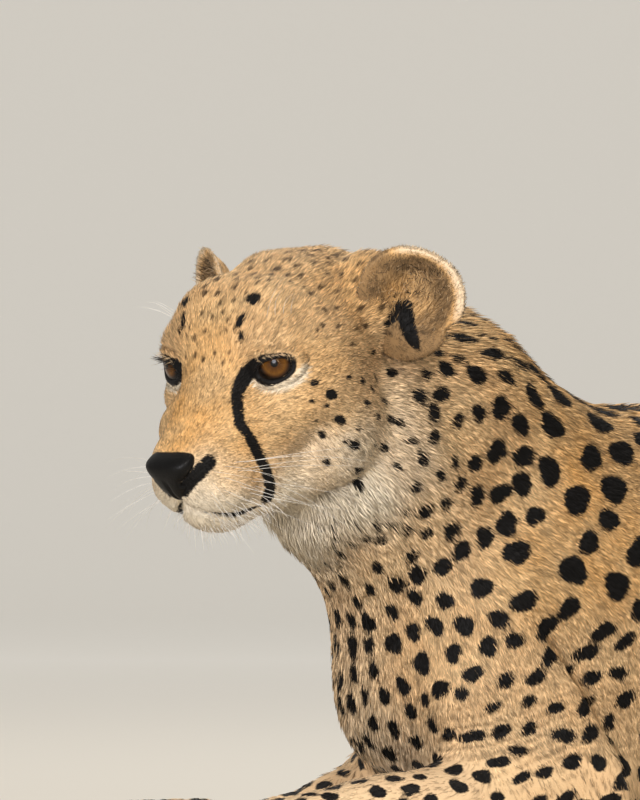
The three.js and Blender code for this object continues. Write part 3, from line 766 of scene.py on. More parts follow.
# Places on the skin at least a gap apart, the gap being the combs' own times crowd.
def scatter(chosen, limit, crowd=1.0, seed=1):
    draw = np.random.default_rng(seed)
    t = triangles[chosen]
    a, b, c = skinPoints[t[:, 0]], skinPoints[t[:, 1]], skinPoints[t[:, 2]]
    area = np.linalg.norm(np.cross(b - a, c - a), axis=1)
    pick = draw.choice(len(t), limit, p=area / area.sum())
    u, v = draw.random(limit), draw.random(limit)
    swap = u + v > 1
    u[swap], v[swap] = 1 - u[swap], 1 - v[swap]
    place = a[pick] + (b - a)[pick] * u[:, None] + (c - a)[pick] * v[:, None]
    corner = t[pick, 0]
    table = skinCombs[corner]
    gaps = np.maximum(table[:, 8] * crowd, 3)
    cell = 26.0
    boxes = {}
    kept = []
    for i in range(limit):
        if table[i, 6] < 1.2:
            continue
        key = tuple((place[i] // cell).astype(int))
        near = [
            j
            for dx in (-1, 0, 1) for dy in (-1, 0, 1) for dz in (-1, 0, 1)
            for j in boxes.get((key[0] + dx, key[1] + dy, key[2] + dz), ())
        ]
        if near and np.min(np.linalg.norm(place[near] - place[i], axis=1) / gaps[i]) < 1:
            continue
        boxes.setdefault(key, []).append(i)
        kept.append(i)
    return place[kept], skinNormals[corner[kept]], table[kept]


def skinTriangles(mesh):
    mesh.calc_loop_triangles()
    t = np.empty(len(mesh.loop_triangles) * 3, np.int32)
    mesh.loop_triangles.foreach_get("vertices", t)
    return t.reshape(-1, 3)


skinPoints = readPoints(skinMesh) / mm
skinNormals = readNormals(skinMesh)
skinCombs = smoothed(combed(skinPoints), *neighbours(skinMesh), 0.5, combSettings["smoothing"])
triangles = skinTriangles(skinMesh)
headPlaces = intoHead(skinPoints)


def earTurn(side):
    turn = Matrix.Rotation(math.radians(side * earSettings["turn"]), 3, "Z")
    return np.array(turn @ Matrix.Rotation(math.radians(earSettings["tilt"]), 3, "Y"))


# Places in the cup's own axes: out of its mouth, outward and up, in millimetres.
def intoEar(q, side):
    mirror = np.array((1, side, 1))
    return (q - np.array(earSettings["place"]) * mirror) @ earTurn(side) * mirror


# Hair fans out from each ear's foot to its rim, and is longest inside it.
def combEars():
    for side in (-1, 1):
        mine = (headPlaces[:, 0] < -45) & (headPlaces[:, 1] * side > 0)
        mine[:bareCount] = False
        local = intoEar(headPlaces[mine], side)
        turn = earTurn(side)
        outward = unit(np.stack([0.2 + 0 * local[:, 0], local[:, 1] + 14, local[:, 2] + 24], 1))
        inside = (skinNormals[mine] @ headAxes.T @ turn)[:, 0] > 0
        reach = np.hypot(local[:, 1], local[:, 2]) / earSettings["radius"]
        rim = ease(0.74, 0.9, reach)
        skinCombs[mine, :3] = (outward * np.array((1, side, 1))) @ turn.T @ headAxes
        edge = rim * ease(-14, 2, local[:, 1]) * ease(-26, -8, local[:, 2])
        skinCombs[mine, 3] = np.where(inside, 9 - 6 * ease(0.45, 0.85, reach), 4.5)
        skinCombs[mine, 4] = np.where(inside, 24 - 8 * rim, 14)
        cupPale = -0.1 - 0.3 * ease(0.25, 0.6, reach) + 0.95 * edge
        skinCombs[mine, 5] = np.where(inside, cupPale, 0.1 + 0.35 * rim)
        skinCombs[mine, 6:] = 0


def isBare(t):
    return (t < bareCount).all(1)


combEars()
skinTree = kdtree.KDTree(bareCount)
for i, p in enumerate(skinPoints[:bareCount]):
    skinTree.insert(p, i)
skinTree.balance()


# The same stations, each moved to the nearest place on the skin.
def laid(line):
    found = [(skinTree.find(fromHead(row[:3]))[1], row[3]) for row in line]
    return [(*headPlaces[i], r) for i, r in found]


lipBreadths = (0.5, 1.2, 2.2, 2.4, 1.4, 0.3)
tearPath = laid(tearLine)
mouthPath = laid([(*row[:3], broad) for row, broad in zip(mouthLine, lipBreadths)])


# A white crescent under each eye.
def whitenLids():
    folded = ontoLeft(headPlaces)
    near = (folded[:, 0] > -25) & (np.abs(folded[:, 2]) < 30)
    crescent = np.array([lidPoint(1, t, 1.58, 1.5) for t in np.radians(np.linspace(204, 336, 24))])
    away = np.linalg.norm(folded[near][:, None] - crescent[None], axis=2).min(1)
    share = 1 - ease(2.4, 5.0, away)
    skinCombs[near, 5] += share * (0.85 - skinCombs[near, 5])


whitenLids()


def makeMarks():
    s = spotSettings
    spots, flecks = Marks(), Marks()
    place, normal, comb = scatter(isBare(triangles), s["tries"], seed=11)
    q = intoHead(place)
    cheek = (q[:, 0] > -80) & (q[:, 2] < 2) & (np.abs(q[:, 1]) > 25)
    for p, n, c, inHead, inCheek in zip(place, normal, comb, q, cheek):
        if inCheek and inHead[2] > -100 and inHead[0] > -75:
            continue
        grow = rng.uniform(*s["uneven"])
        turn = rng.normal(0, 0.22)
        lie = c[:3] + turn * np.cross(n, c[:3])
        crown = c[8] < 11 and inHead[0] > -120 and inHead[2] > -20
        broad = c[7] * grow * rng.uniform(0.85, 1.1)
        (flecks if crown else spots).add(p, lie, n, c[6] * grow, broad, 0.95 if crown else 1.0)
    for f, l, z, long, broad in faceSpots:
        for side in (-1, 1):
            jitter = rng.normal(0, 0.3 + 1.2 * (side < 0), 3)  # the far side differs a little
            _, i, _ = skinTree.find(fromHead(np.array((f, side * l, z)) + jitter))
            size = (s["faceLong"] * long, s["faceBroad"] * broad)
            spots.add(skinPoints[i], skinCombs[i, :3], skinNormals[i], *size)
    spots.settle()
    place, normal, comb = scatter(isBare(triangles), s["tries"], s["fleckGap"], seed=12)
    gap, _ = spots.distance(place)
    for p, n, c, d in zip(place, normal, comb, gap):
        if d > 3.2 and c[8] >= 11:
            flecks.add(p, c[:3], n, rng.uniform(1.6, 2.6), rng.uniform(1.1, 1.7), rng.uniform(0.15, 0.5))
    flecks.settle()
    return spots, flecks


# The dark comma that leaves the nose on each side
fromNostril = [
    (57, 6, -63, 3.0), (58, 10.5, -58, 4.4), (57, 14, -54.5, 4.6), (53, 17.5, -50.5, 4.8),
    (48.5, 20.5, -46.5, 4.7),
]


# Millimetres from the tear lines, the lips and the rims of the eyes, in the head's axes.
def linesDistance(q):
    folded = ontoLeft(q)
    d = np.full(len(q), 50.0)
    for line in (tearPath, mouthPath, innerCorner, fromNostril):
        back = 3.0 * (q[:, 1:2] < 0) * (line is tearPath)  # the far tear line lies a little farther back
        for a, b in zip(line, line[1:]):
            d = np.minimum(d, limb(a, b)(folded + back * np.array((1, -0.5, 0))))
    rim = np.array([lidPoint(1, t, 1.0, 1.0) for t in np.linspace(0, 2 * math.pi, 40)])
    near = (folded[:, 0] > -30) & (np.abs(folded[:, 2]) < 30)
    broad = 2.0 + 1.3 * ease(44, 34, folded[near, 1]) + 1.2 * ease(-1, 6, folded[near, 2])
    if near.any():
        away = np.linalg.norm(folded[near][:, None] - rim[None], axis=2).min(1)
        d[near] = np.minimum(d[near], away - broad)
    return d


# The black patch on the back of each ear, and painted shade for the opening low inside it: a dark slit with
# a dark band joining it.
def earInk(q):
    d = np.full(len(q), 50.0)
    for side in (-1, 1):
        near = (q[:, 1] * side > 38) & (q[:, 0] < -45) & (q[:, 2] > -30)
        local = intoEar(q[near], side)
        reach = np.hypot(local[:, 1], local[:, 2]) / earSettings["radius"]
        cup = earFloor(reach, np.arctan2(local[:, 2], local[:, 1]))
        behind = (local[:, 0] - cup + earSettings["wall"] / 2) * 3
        patch = np.maximum((reach - 0.8) * 30, behind)
        # Painted shade: the slit and the band that joins it stand for the shadowed opening low in the cup
        slit = limb((-14, -5, -4, 5.5), (-8, -1, -36, 3.8))(local)
        brow = limb((-17, -16, -12, 3.5), (-14, -4, -4, 5.0))(local)
        d[near] = np.minimum(patch, np.minimum(slit, brow))
    return d


# Where each dark ring is along the body, and its half breadth
tailRings = np.array([(584, 7), (550, 8), (514, 9), (477, 10), (440, 11)])


# Dark rings in place of spots towards the tail's white tip.
def ringInk(w):
    rings = (np.abs(w[:, :1] - tailRings[:, 0]) - tailRings[:, 1]).min(1)
    return rings + 1.5 * np.sin(w[:, 2] / 5) + 1.2 * np.sin(w[:, 1] / 4)


# What the materials read at each point: ink is millimetres outside a black mark, smoke a faint one's
# strength.
def markings(points):
    ink, _ = spots.distance(points)
    q = intoHead(points)
    inHead = (q[:, 0] > -40) & (q[:, 2] > -110)
    ink[inHead] = np.minimum(ink[inHead], linesDistance(q[inHead]))
    ink = np.minimum(ink, earInk(q))
    w = points - bodyOrigin
    end = (w[:, 1] < -190) & (w[:, 0] < 625)
    ink[end] = ringInk(w[end])
    faint, strength = flecks.distance(points)
    return ink, (1 - ease(-0.5, 0.7, faint)) * strength


# How dark the tips of the ticked hairs are: darkest on the crown, temples and ears, slight on the body.
def ticking(points):
    q = intoHead(points)
    crown = ease(-22, 10, q[:, 2] + 0.25 * np.abs(q[:, 1])) * ease(34, 4, q[:, 0])
    white = ease(-58, -74, q[:, 2])
    ear = ease(62, 72, np.abs(q[:, 1])) * ease(-50, -60, q[:, 0]) * ease(-30, -10, q[:, 2])
    side = ease(25, 45, np.abs(q[:, 1])) * ease(12, -8, q[:, 0])
    head = (0.55 + 0.55 * crown + 0.4 * side + 1.1 * ear) * (1 - 0.75 * white)
    return np.where(q[:, 0] > -118, head, 0.4)


spots, flecks = makeMarks()
print("marks", len(spots.rows), "spots", len(flecks.rows), "flecks")


def setAttribute(mesh, name, values, kind="FLOAT"):
    data = mesh.attributes.new(name, kind, "POINT").data
    key = "vector" if kind == "FLOAT_VECTOR" else "value"
    data.foreach_set(key, np.asarray(values, np.float32).ravel())


coatSettings = {
    "breadth": 0.055,  # of a tuft, as a share of its length
    "thickness": 0.4,  # of a tuft, as a share of its breadth
    "leastBreadth": 0.5,
    "widest": 0.42,  # how far along a tuft is broadest
    "rootDepth": 0.4,
    "swirlSize": 16.0,  # how far apart the coat's slight cowlicks are
    "swirl": 0.2,
    "swirlSeed": 4,
    "stray": 0.12,
    "earStray": 0.288,
    "lengths": (0.65, 1.2),  # times what the combs say
    "lifts": (0.5, 1.5),
    "breadths": (0.75, 1.3),
    "ragged": 0.55,  # how far the tufts blur a spot's edge, in millimetres
    "clump": 1.5,  # across the locks, which differ in how light they are
    "patch": 0.003,  # of the map, across one tuft
}
# A tuft is a three-sided spindle: its root, left, right and top where it is broadest, and its tip
tuftFaces = np.array([(3, 4, 1), (3, 2, 4), (1, 4, 2), (3, 1, 0), (3, 0, 2), (1, 2, 0)])
tuftPatch = np.array([(0.5, 0.02), (0.05, 0.42), (0.95, 0.42), (0.5, 0.42), (0.5, 0.98)])


def swirls():
    noise.seed_set(coatSettings["swirlSeed"])  # or the clock would choose them
    out = np.empty((len(skinPoints), 3))
    for i, p in enumerate(skinPoints / coatSettings["swirlSize"]):
        out[i] = noise.noise_vector(p)
    return out


skinSwirls = swirls()


# Corner by corner map of these triangles, unwrapped on their own shape.
def regionMap(name, t):
    used, index = np.unique(t, return_inverse=True)
    mesh = bpy.data.meshes.new(name)
    mesh.from_pydata((skinPoints[used] * mm).tolist(), [], index.reshape(-1, 3).tolist())
    obj = placed(name, mesh)
    bpy.context.view_layer.objects.active = obj
    obj.select_set(True)
    mesh.uv_layers.new(name="OFBake")
    bpy.ops.object.mode_set(mode="EDIT")
    bpy.ops.mesh.select_all(action="SELECT")
    bpy.ops.uv.smart_project(angle_limit=math.radians(70), island_margin=0.004)
    bpy.ops.object.mode_set(mode="OBJECT")
    uv = np.empty(len(mesh.loops) * 2)
    mesh.uv_layers["OFBake"].data.foreach_get("uv", uv)
    bpy.data.objects.remove(obj)
    bpy.data.meshes.remove(mesh)
    return uv.reshape(-1, 3, 2)


# Points that would lie in the skin, in a fold or a hollow, are moved out of it.
def clearOfSkin(points, clearance):
    index = np.array([skinTree.find(p)[1] for p in points.tolist()])
    above = ((points - skinPoints[index]) * skinNormals[index]).sum(1)
    return points + np.clip(clearance - above, 0, 8)[:, None] * skinNormals[index]


# Tufts over the chosen triangles, coarse times as broad as the finest. Short hair grows closer than long.
def growCoat(name, chosen, tufts, coarse, seed, bendOver=True):
    c = coatSettings
    draw = np.random.default_rng(seed)
    t = triangles[chosen]
    corners = skinPoints[t]
    area = np.linalg.norm(np.cross(corners[:, 1] - corners[:, 0], corners[:, 2] - corners[:, 0]), axis=1)
    share = area / np.maximum(skinCombs[t[:, 0], 3], 3)
    pick = draw.choice(len(t), tufts, p=share / share.sum())
    u, v = draw.random(tufts), draw.random(tufts)
    swap = u + v > 1
    u[swap], v[swap] = 1 - u[swap], 1 - v[swap]
    weight = np.stack([1 - u - v, u, v], 1)[:, :, None]

    def at(values):
        return (values[t[pick]] * weight).sum(1)

    root, normal = at(skinPoints), unit(at(skinNormals))
    comb = at(skinCombs)
    lie = unit(comb[:, :3]) + c["swirl"] * at(skinSwirls)
    lie += draw.normal(0, c["stray"] if bendOver else c["earStray"], (tufts, 3))
    lie = unit(lie - normal * (lie * normal).sum(1)[:, None])
    long = comb[:, 3] * draw.uniform(*c["lengths"], tufts)
    broad = np.maximum(long * c["breadth"], c["leastBreadth"]) * coarse
    broad *= draw.uniform(*c["breadths"], tufts)
    lift = np.radians(comb[:, 4] * draw.uniform(*c["lifts"], tufts))
    first = lie * np.cos(lift)[:, None] + normal * np.sin(lift)[:, None]
    last = lie * np.cos(lift * 0.35)[:, None] + normal * np.sin(lift * 0.35)[:, None]
    roll = draw.normal(0, 0.35, tufts)
    side = np.cross(normal, lie)
    side = side * np.cos(roll)[:, None] + normal * np.sin(roll)[:, None]
    base = root - normal * c["rootDepth"]
    middle = base + first * (long * c["widest"])[:, None]
    aside = draw.normal(0, 0.1, tufts)[:, None]
    tip = middle + (last + side * aside) * (long * (1 - c["widest"]))[:, None]
    if bendOver:
        middle, tip = clearOfSkin(middle, 0.25), clearOfSkin(tip, 0.5)
    half, high = (broad / 2)[:, None], (broad * c["thickness"])[:, None]
    across = side * half
    points = np.stack([base, middle + across, middle - across, middle + high * normal, tip], 1)
    points[:, :, 2] = np.maximum(points[:, :, 2], 0.2)
    ink, smoke = markings(middle)
    inkTip, smokeTip = markings(tip)
    ragged = draw.normal(0, c["ragged"], tufts)
    faces = (tuftFaces[None] + 5 * np.arange(tufts)[:, None, None]).reshape(-1, 3)
    mesh = bpy.data.meshes.new(name)
    mesh.vertices.add(5 * tufts)
    mesh.loops.add(faces.size)
    mesh.polygons.add(len(faces))
    mesh.vertices.foreach_set("co", (points * mm).astype(np.float32).ravel())
    mesh.loops.foreach_set("vertex_index", faces.astype(np.int32).ravel())
    mesh.polygons.foreach_set("loop_start", np.arange(0, faces.size, 3, dtype=np.int32))
    mesh.update(calc_edges=True)
    five = np.ones((1, 5))
    setAttribute(mesh, "ink", np.stack([ink, ink, ink, ink, inkTip], 1) + ragged[:, None])
    setAttribute(mesh, "pale", comb[:, 5:6] * five)
    fine = np.array([noise.noise(p) for p in root / c["clump"]])
    clump = fine + 0.55 * np.array([noise.noise(p) for p in root / (2.7 * c["clump"])])
    tick = ticking(root)
    chance = 0.2 + 0.3 * tick - 0.7 * clump  # more of them in the darker locks
    dark = (draw.random(tufts) < chance) * draw.uniform(0.3, 1.0, tufts)
    ticked = np.minimum(1, smokeTip + np.minimum(tick, 1) * dark)
    setAttribute(mesh, "smoke", np.stack([smoke, smoke, smoke, smoke, ticked], 1))
    strand = np.clip(0.5 + 0.6 * (draw.random(tufts) - 0.5) + 0.8 * clump, 0, 1)
    setAttribute(mesh, "strand", strand[:, None] * five)
    setAttribute(mesh, "along", np.tile((0, c["widest"], c["widest"], c["widest"], 1), (tufts, 1)))
    setAttribute(mesh, "skinNormal", np.repeat(normal[:, None], 5, 1), "FLOAT_VECTOR")
    uv = (regionMap(name, t)[pick] * weight).sum(1)
    patch = uv[:, None] + (tuftPatch[None] - 0.5) * c["patch"]
    layer = mesh.uv_layers.new(name="OFBake")
    onMap = np.clip(patch.reshape(-1, 2)[faces.ravel()], 0, 1)
    layer.data.foreach_set("uv", onMap.astype(np.float32).ravel())
    mesh.shade_smooth()
    return placed(name, mesh)


# An sRGB hex colour as the linear numbers that shaders use.
def srgb(colour):
    parts = [int(colour[i : i + 2], 16) / 255 for i in (1, 3, 5)]
    return (*[c / 12.92 if c <= 0.04045 else ((c + 0.055) / 1.055) ** 2.4 for c in parts], 1)


def node(tree, kind, inputs=None, **settings):
    made = tree.nodes.new(kind)
    for key, value in settings.items():
        setattr(made, key, value)
    for key, value in (inputs or {}).items():
        if isinstance(value, bpy.types.NodeSocket):
            tree.links.new(value, made.inputs[key])
        else:
            made.inputs[key].default_value = value
    return made


def emptyMaterial(name):
    material = bpy.data.materials.new(name)
    material.use_nodes = True
    material.node_tree.nodes.clear()
    return material, material.node_tree


furColours = {
    "tan": "#efc68e",
    "warm": "#e3ae6a",
    "pale": "#fbebcf",
    "ink": "#0b0806",
    "smoke": "#3f2c19",
    # Root colours: the hairs' own darker roots, darkened further as painted shade deep in the coat
    "under": "#b38a58",
    "paleRootToneAndShade": "#f2e2c6",
    "brown": "#8d7250",
}


furSettings = {
    "cloud": 0.032,  # metres across a patch of warmer fur
    "grain": 0.0014,  # metres; coarser than the hairs of a spot's edge, so that it shows
    "darkest": 0.5,  # of the hairs, times the coat's colour
    "brightest": 1.38,
    "paleDarkest": 0.3,  # added to those where the coat is pale, whose hairs differ less
    "paleBrightest": -0.34,
    "rootToneAndShadeShare": 0.55,  # of the root colour at a hair's root, partly the hair's own darker root and partly painted shade deep in the coat
    "skinShare": 0.62,  # how far a hair is lit as the skin below it is
    "roughness": 0.6,
    "specular": 0.2,
    "sheen": 0.04,
}


# Short dense guard hair: dry, with a little sheen along each hair. Its colours come from the skin's
# markings.
def coatMaterial(name, tufts):
    material, tree = emptyMaterial(name)
    c = {key: srgb(value) for key, value in furColours.items()}
    f = furSettings

    def read(attribute):
        return node(tree, "ShaderNodeAttribute", attribute_name=attribute).outputs["Fac"]

    place = node(tree, "ShaderNodeTexCoord").outputs["Object"]
    cloud = node(
        tree, "ShaderNodeTexNoise", {"Vector": place, "Scale": 1 / f["cloud"], "Detail": 3}
    ).outputs[0]
    grain = node(
        tree, "ShaderNodeTexNoise", {"Vector": place, "Scale": 1 / f["grain"], "Detail": 2}
    ).outputs[0]
    warmth = node(tree, "ShaderNodeMapRange", {0: cloud, 1: 0.35, 2: 0.7}).outputs[0]
    tan = node(tree, "ShaderNodeMix", {0: warmth, 6: c["tan"], 7: c["warm"]}, data_type="RGBA").outputs[2]
    drift = node(tree, "ShaderNodeMath", {0: cloud, 1: 0.25, 2: -0.125}, operation="MULTIPLY_ADD").outputs[0]
    paleness = node(tree, "ShaderNodeMath", {0: read("pale"), 1: drift}, operation="ADD").outputs[0]
    paleShare = node(tree, "ShaderNodeMapRange", {0: paleness, 1: 0.0, 2: 0.9}).outputs[0]
    brownShare = node(tree, "ShaderNodeMapRange", {0: paleness, 1: 0.0, 2: -0.4}).outputs[0]
    tan = node(tree, "ShaderNodeMix", {0: brownShare, 6: tan, 7: c["brown"]}, data_type="RGBA").outputs[2]
    ground = node(tree, "ShaderNodeMix", {0: paleShare, 6: tan, 7: c["pale"]}, data_type="RGBA").outputs[2]
    # Painted shade deep in the coat, with the hair's own darker root: the colour darkens over the lower half
    # of each hair
    deep = node(
        tree, "ShaderNodeMapRange", {0: read("along"), 1: 0.0, 2: 0.55, 3: f["rootToneAndShadeShare"], 4: 0.0}
    ).outputs[0]
    under = node(
        tree, "ShaderNodeMix", {0: paleShare, 6: c["under"], 7: c["paleRootToneAndShade"]}, data_type="RGBA"
    ).outputs[2]
    withRootShade = node(tree, "ShaderNodeMix", {0: deep, 6: ground, 7: under}, data_type="RGBA").outputs[2]
    dimmest = node(
        tree, "ShaderNodeMath", {0: paleShare, 1: f["paleDarkest"], 2: f["darkest"]},
        operation="MULTIPLY_ADD"
    ).outputs[0]
    brightest = node(
        tree, "ShaderNodeMath", {0: paleShare, 1: f["paleBrightest"], 2: f["brightest"]},
        operation="MULTIPLY_ADD"
    ).outputs[0]
    bright = node(
        tree, "ShaderNodeMapRange", {0: read("strand"), 1: 0.0, 2: 1.0, 3: dimmest, 4: brightest}
    ).outputs[0]
    varied = node(tree, "ShaderNodeVectorMath", {0: withRootShade, 3: bright}, operation="SCALE").outputs[0]
    smoked = node(
        tree, "ShaderNodeMix", {0: read("smoke"), 6: varied, 7: c["smoke"]}, data_type="RGBA"
    ).outputs[2]
    rough = node(tree, "ShaderNodeMath", {0: grain, 1: 1.4, 2: -0.7}, operation="MULTIPLY_ADD").outputs[0]
    edge = node(tree, "ShaderNodeMath", {0: read("ink"), 1: rough}, operation="ADD").outputs[0]
    inked = node(tree, "ShaderNodeMapRange", {0: edge, 1: -0.5, 2: 0.5, 3: 1.0, 4: 0.0}).outputs[0]
    colour = node(tree, "ShaderNodeMix", {0: inked, 6: smoked, 7: c["ink"]}, data_type="RGBA").outputs[2]
    inputs = {"Base Color": colour, "Roughness": f["roughness"], "Specular IOR Level": f["specular"]}
    inputs["Sheen Weight"] = f["sheen"]
    if tufts:
        skinWay = node(tree, "ShaderNodeAttribute", attribute_name="skinNormal").outputs["Vector"]
        ownWay = node(tree, "ShaderNodeNewGeometry").outputs["Normal"]
        both = node(
            tree, "ShaderNodeMix", {0: f["skinShare"], 4: ownWay, 5: skinWay}, data_type="VECTOR"
        ).outputs[1]
        inputs["Normal"] = node(tree, "ShaderNodeVectorMath", {0: both}, operation="NORMALIZE").outputs[0]
    else:
        inputs["Normal"] = node(
            tree, "ShaderNodeBump", {"Height": grain, "Distance": 0.0006, "Strength": 0.6}
        ).outputs[0]
    shader = node(tree, "ShaderNodeBsdfPrincipled", inputs)
    node(tree, "ShaderNodeOutputMaterial", {"Surface": shader.outputs[0]})
    return material


# A wet cornea over an amber iris, so it shows one sharp highlight and streaks that run out from the
# pupil.
def eyeMaterial():
    material, tree = emptyMaterial("wetAmberEye")
    e = eyeSettings
    out = node(tree, "ShaderNodeAttribute", attribute_name="fromGaze").outputs["Fac"]
    around = node(tree, "ShaderNodeAttribute", attribute_name="aroundGaze").outputs["Vector"]
    streakPlace = node(
        tree, "ShaderNodeVectorMath", {0: around, 1: (9, 9, 1)}, operation="MULTIPLY"
    ).outputs[0]
    streaks = node(tree, "ShaderNodeTexNoise", {"Vector": streakPlace, "Scale": 1.6, "Detail": 3}).outputs[0]
    wander = node(tree, "ShaderNodeMath", {0: streaks, 1: 1.6, 2: -0.8}, operation="MULTIPLY_ADD").outputs[0]
    uneven = node(tree, "ShaderNodeMath", {0: out, 1: wander}, operation="ADD").outputs[0]
    steps = [
        (out, e["pupil"] - 0.2, e["pupil"] + 0.3, "#050403", "#47290a"),
        (uneven, e["pupil"] + 0.8, e["iris"] - 2.4, None, "#664114"),
        (uneven, e["iris"] - 2.6, e["iris"] - 0.6, None, "#2f1a08"),
        (out, e["iris"] - 0.7, e["iris"] + 0.4, None, "#0d0907"),
        (out, e["iris"] + 1.2, e["iris"] + 3.5, None, "#2c221c"),
    ]
    colour = srgb(steps[0][3])
    for distance, low, high, _, then in steps:
        share = node(tree, "ShaderNodeMapRange", {0: distance, 1: low, 2: high}).outputs[0]
        colour = node(
            tree, "ShaderNodeMix", {0: share, 6: colour, 7: srgb(then)}, data_type="RGBA"
        ).outputs[2]
    bright = node(tree, "ShaderNodeMapRange", {0: streaks, 1: 0.3, 2: 0.7, 3: 0.72, 4: 1.25}).outputs[0]
    colour = node(tree, "ShaderNodeVectorMath", {0: colour, 3: bright}, operation="SCALE").outputs[0]
    inputs = {"Base Color": colour, "Roughness": 0.35, "Specular IOR Level": 0.04}
    inputs |= {"Coat Weight": 0.5, "Coat Roughness": 0.03, "Coat IOR": 1.38}  # the wet cornea
    shader = node(tree, "ShaderNodeBsdfPrincipled", inputs)
    node(tree, "ShaderNodeOutputMaterial", {"Surface": shader.outputs[0]})
    return material


# Bare damp nose leather: black, finely cobbled, with a cool sheen where the light grazes it.
def leatherMaterial():
    material, tree = emptyMaterial("dampNoseLeather")
    n = noseSettings
    place = node(tree, "ShaderNodeTexCoord").outputs["Object"]
    cobbles = node(
        tree, "ShaderNodeTexVoronoi", {"Vector": place, "Scale": 1 / n["cobbles"]}
    ).outputs["Distance"]
    cloud = node(tree, "ShaderNodeTexNoise", {"Vector": place, "Scale": 1 / 0.008}).outputs[0]
    colour = node(
        tree, "ShaderNodeMix", {0: cloud, 6: srgb("#040303"), 7: srgb("#0a0908")}, data_type="RGBA"
    ).outputs[2]
    bump = node(tree, "ShaderNodeBump", {"Height": cobbles, "Distance": 0.0003, "Strength": 0.4}).outputs[0]
    inputs = {"Base Color": colour, "Roughness": 0.42, "Specular IOR Level": 0.2, "Normal": bump}
    shader = node(tree, "ShaderNodeBsdfPrincipled", inputs)
    node(tree, "ShaderNodeOutputMaterial", {"Surface": shader.outputs[0]})
    return material


# Smooth keratin, as in single stiff hairs and claws, so each catches a thin highlight.
def hairMaterial(name, colour, roughness):
    material, tree = emptyMaterial(name)
    place = node(tree, "ShaderNodeTexCoord").outputs["Object"]
    cloud = node(tree, "ShaderNodeTexNoise", {"Vector": place, "Scale": 1 / 0.01}).outputs[0]
    bright = node(tree, "ShaderNodeMapRange", {0: cloud, 1: 0.3, 2: 0.7, 3: 0.85, 4: 1.05}).outputs[0]
    shade = node(
        tree, "ShaderNodeVectorMath", {0: srgb(colour)[:3], 3: bright}, operation="SCALE"
    ).outputs[0]
    shader = node(tree, "ShaderNodeBsdfPrincipled", {"Base Color": shade, "Roughness": roughness})
    node(tree, "ShaderNodeOutputMaterial", {"Surface": shader.outputs[0]})
    return material


def makeEye(name, side):
    e = eyeSettings
    turn, lift = math.radians(e["gaze"][name]), math.radians(e["raise"])
    level = math.cos(lift)
    gaze = np.array((math.cos(turn) * level, side * math.sin(turn) * level, math.sin(lift)))
    across = np.array((-math.sin(turn), side * math.cos(turn), 0))
    over = np.cross(gaze, across)
    bm = bmesh.new()
    bmesh.ops.create_uvsphere(bm, u_segments=72, v_segments=48, radius=1)
    mesh = meshFrom(bm, f"eye_{name}_ball")
    look = readPoints(mesh)
    local = np.stack([look @ gaze, look @ across, look @ over], 1)
    angle = np.degrees(np.arccos(np.clip(local[:, 0], -1, 1)))
    bulge = 0.5 * (1 - ease(0, 36, angle))
    writePoints(mesh, (look * (e["radius"] - 0.5 + bulge)[:, None] @ headAxes + eyeCentres[name]) * mm)
    setAttribute(mesh, "fromGaze", e["radius"] * np.sin(np.radians(np.minimum(angle, 90))))
    around = unit(np.stack([local[:, 1], local[:, 2], 0 * angle], 1))
    setAttribute(mesh, "aroundGaze", around, "FLOAT_VECTOR")
    mesh.materials.append(eyeGlass)
    mesh.shade_smooth()
    ball = placed(f"eyeball_{name}", mesh)
    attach(ball, "root")
    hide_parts(f"eye_{name}")


noseSettings = {
    "place": (53, 0, -53.5),
    "radii": (11, 18.5, 15.5),
    "lean": 27,  # degrees that the top lies ahead of the foot
    "foot": 0.2,  # how broad the foot is, as a share of the top
    "nostril": (59, 8.8, -55),
    "cobbles": 0.0011,  # metres across one; about twice the real size, so that they show
}


# The bare pad: broad at the top, drawn in to the lip, parted down the middle, with a comma on each side.
def makeNose():
    n = noseSettings
    bm = bmesh.new()
    bmesh.ops.create_uvsphere(bm, u_segments=96, v_segments=64, radius=1)
    mesh = meshFrom(bm, "noseLeather")
    p = readPoints(mesh)
    square = np.stack([np.full(len(p), 0.8), np.full(len(p), 0.78), np.where(p[:, 2] > 0, 0.42, 1)], 1)
    p = np.sign(p) * np.abs(p) ** square  # flat along the top
    drawnIn = n["foot"] + (1 - n["foot"]) * np.clip((p[:, 2] + 1) / 1.8, 0, 1) ** 0.95
    p = p * np.array(n["radii"]) * np.stack([np.ones(len(p)), drawnIn, np.ones(len(p))], 1)
    lean = math.radians(n["lean"])
    ahead = p[:, 0] * math.cos(lean) + p[:, 2] * math.sin(lean)
    up = p[:, 2] * math.cos(lean) - p[:, 0] * math.sin(lean)
    turned = np.stack([ahead, p[:, 1], up], 1)
    q = turned + np.array(n["place"])
    folded = ontoLeft(q)
    inward = unit(np.array(n["place"]) - q)
    hole = limb((*n["nostril"], 3.0), (54, 18, -50, 1.6))(folded)
    q = q + inward * (4.5 * (1 - ease(-1.5, 2.2, hole)))[:, None]
    parting = np.exp(-((q[:, 1] / 0.9) ** 2)) * ease(-52, -60, q[:, 2])
    q = q + inward * (1.3 * parting)[:, None]
    writePoints(mesh, fromHead(q) * mm)
    mesh.materials.append(leatherMaterial())
    mesh.shade_smooth()
    pad = placed("noseLeather", mesh)
    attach(pad, "root")
    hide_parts("nose")


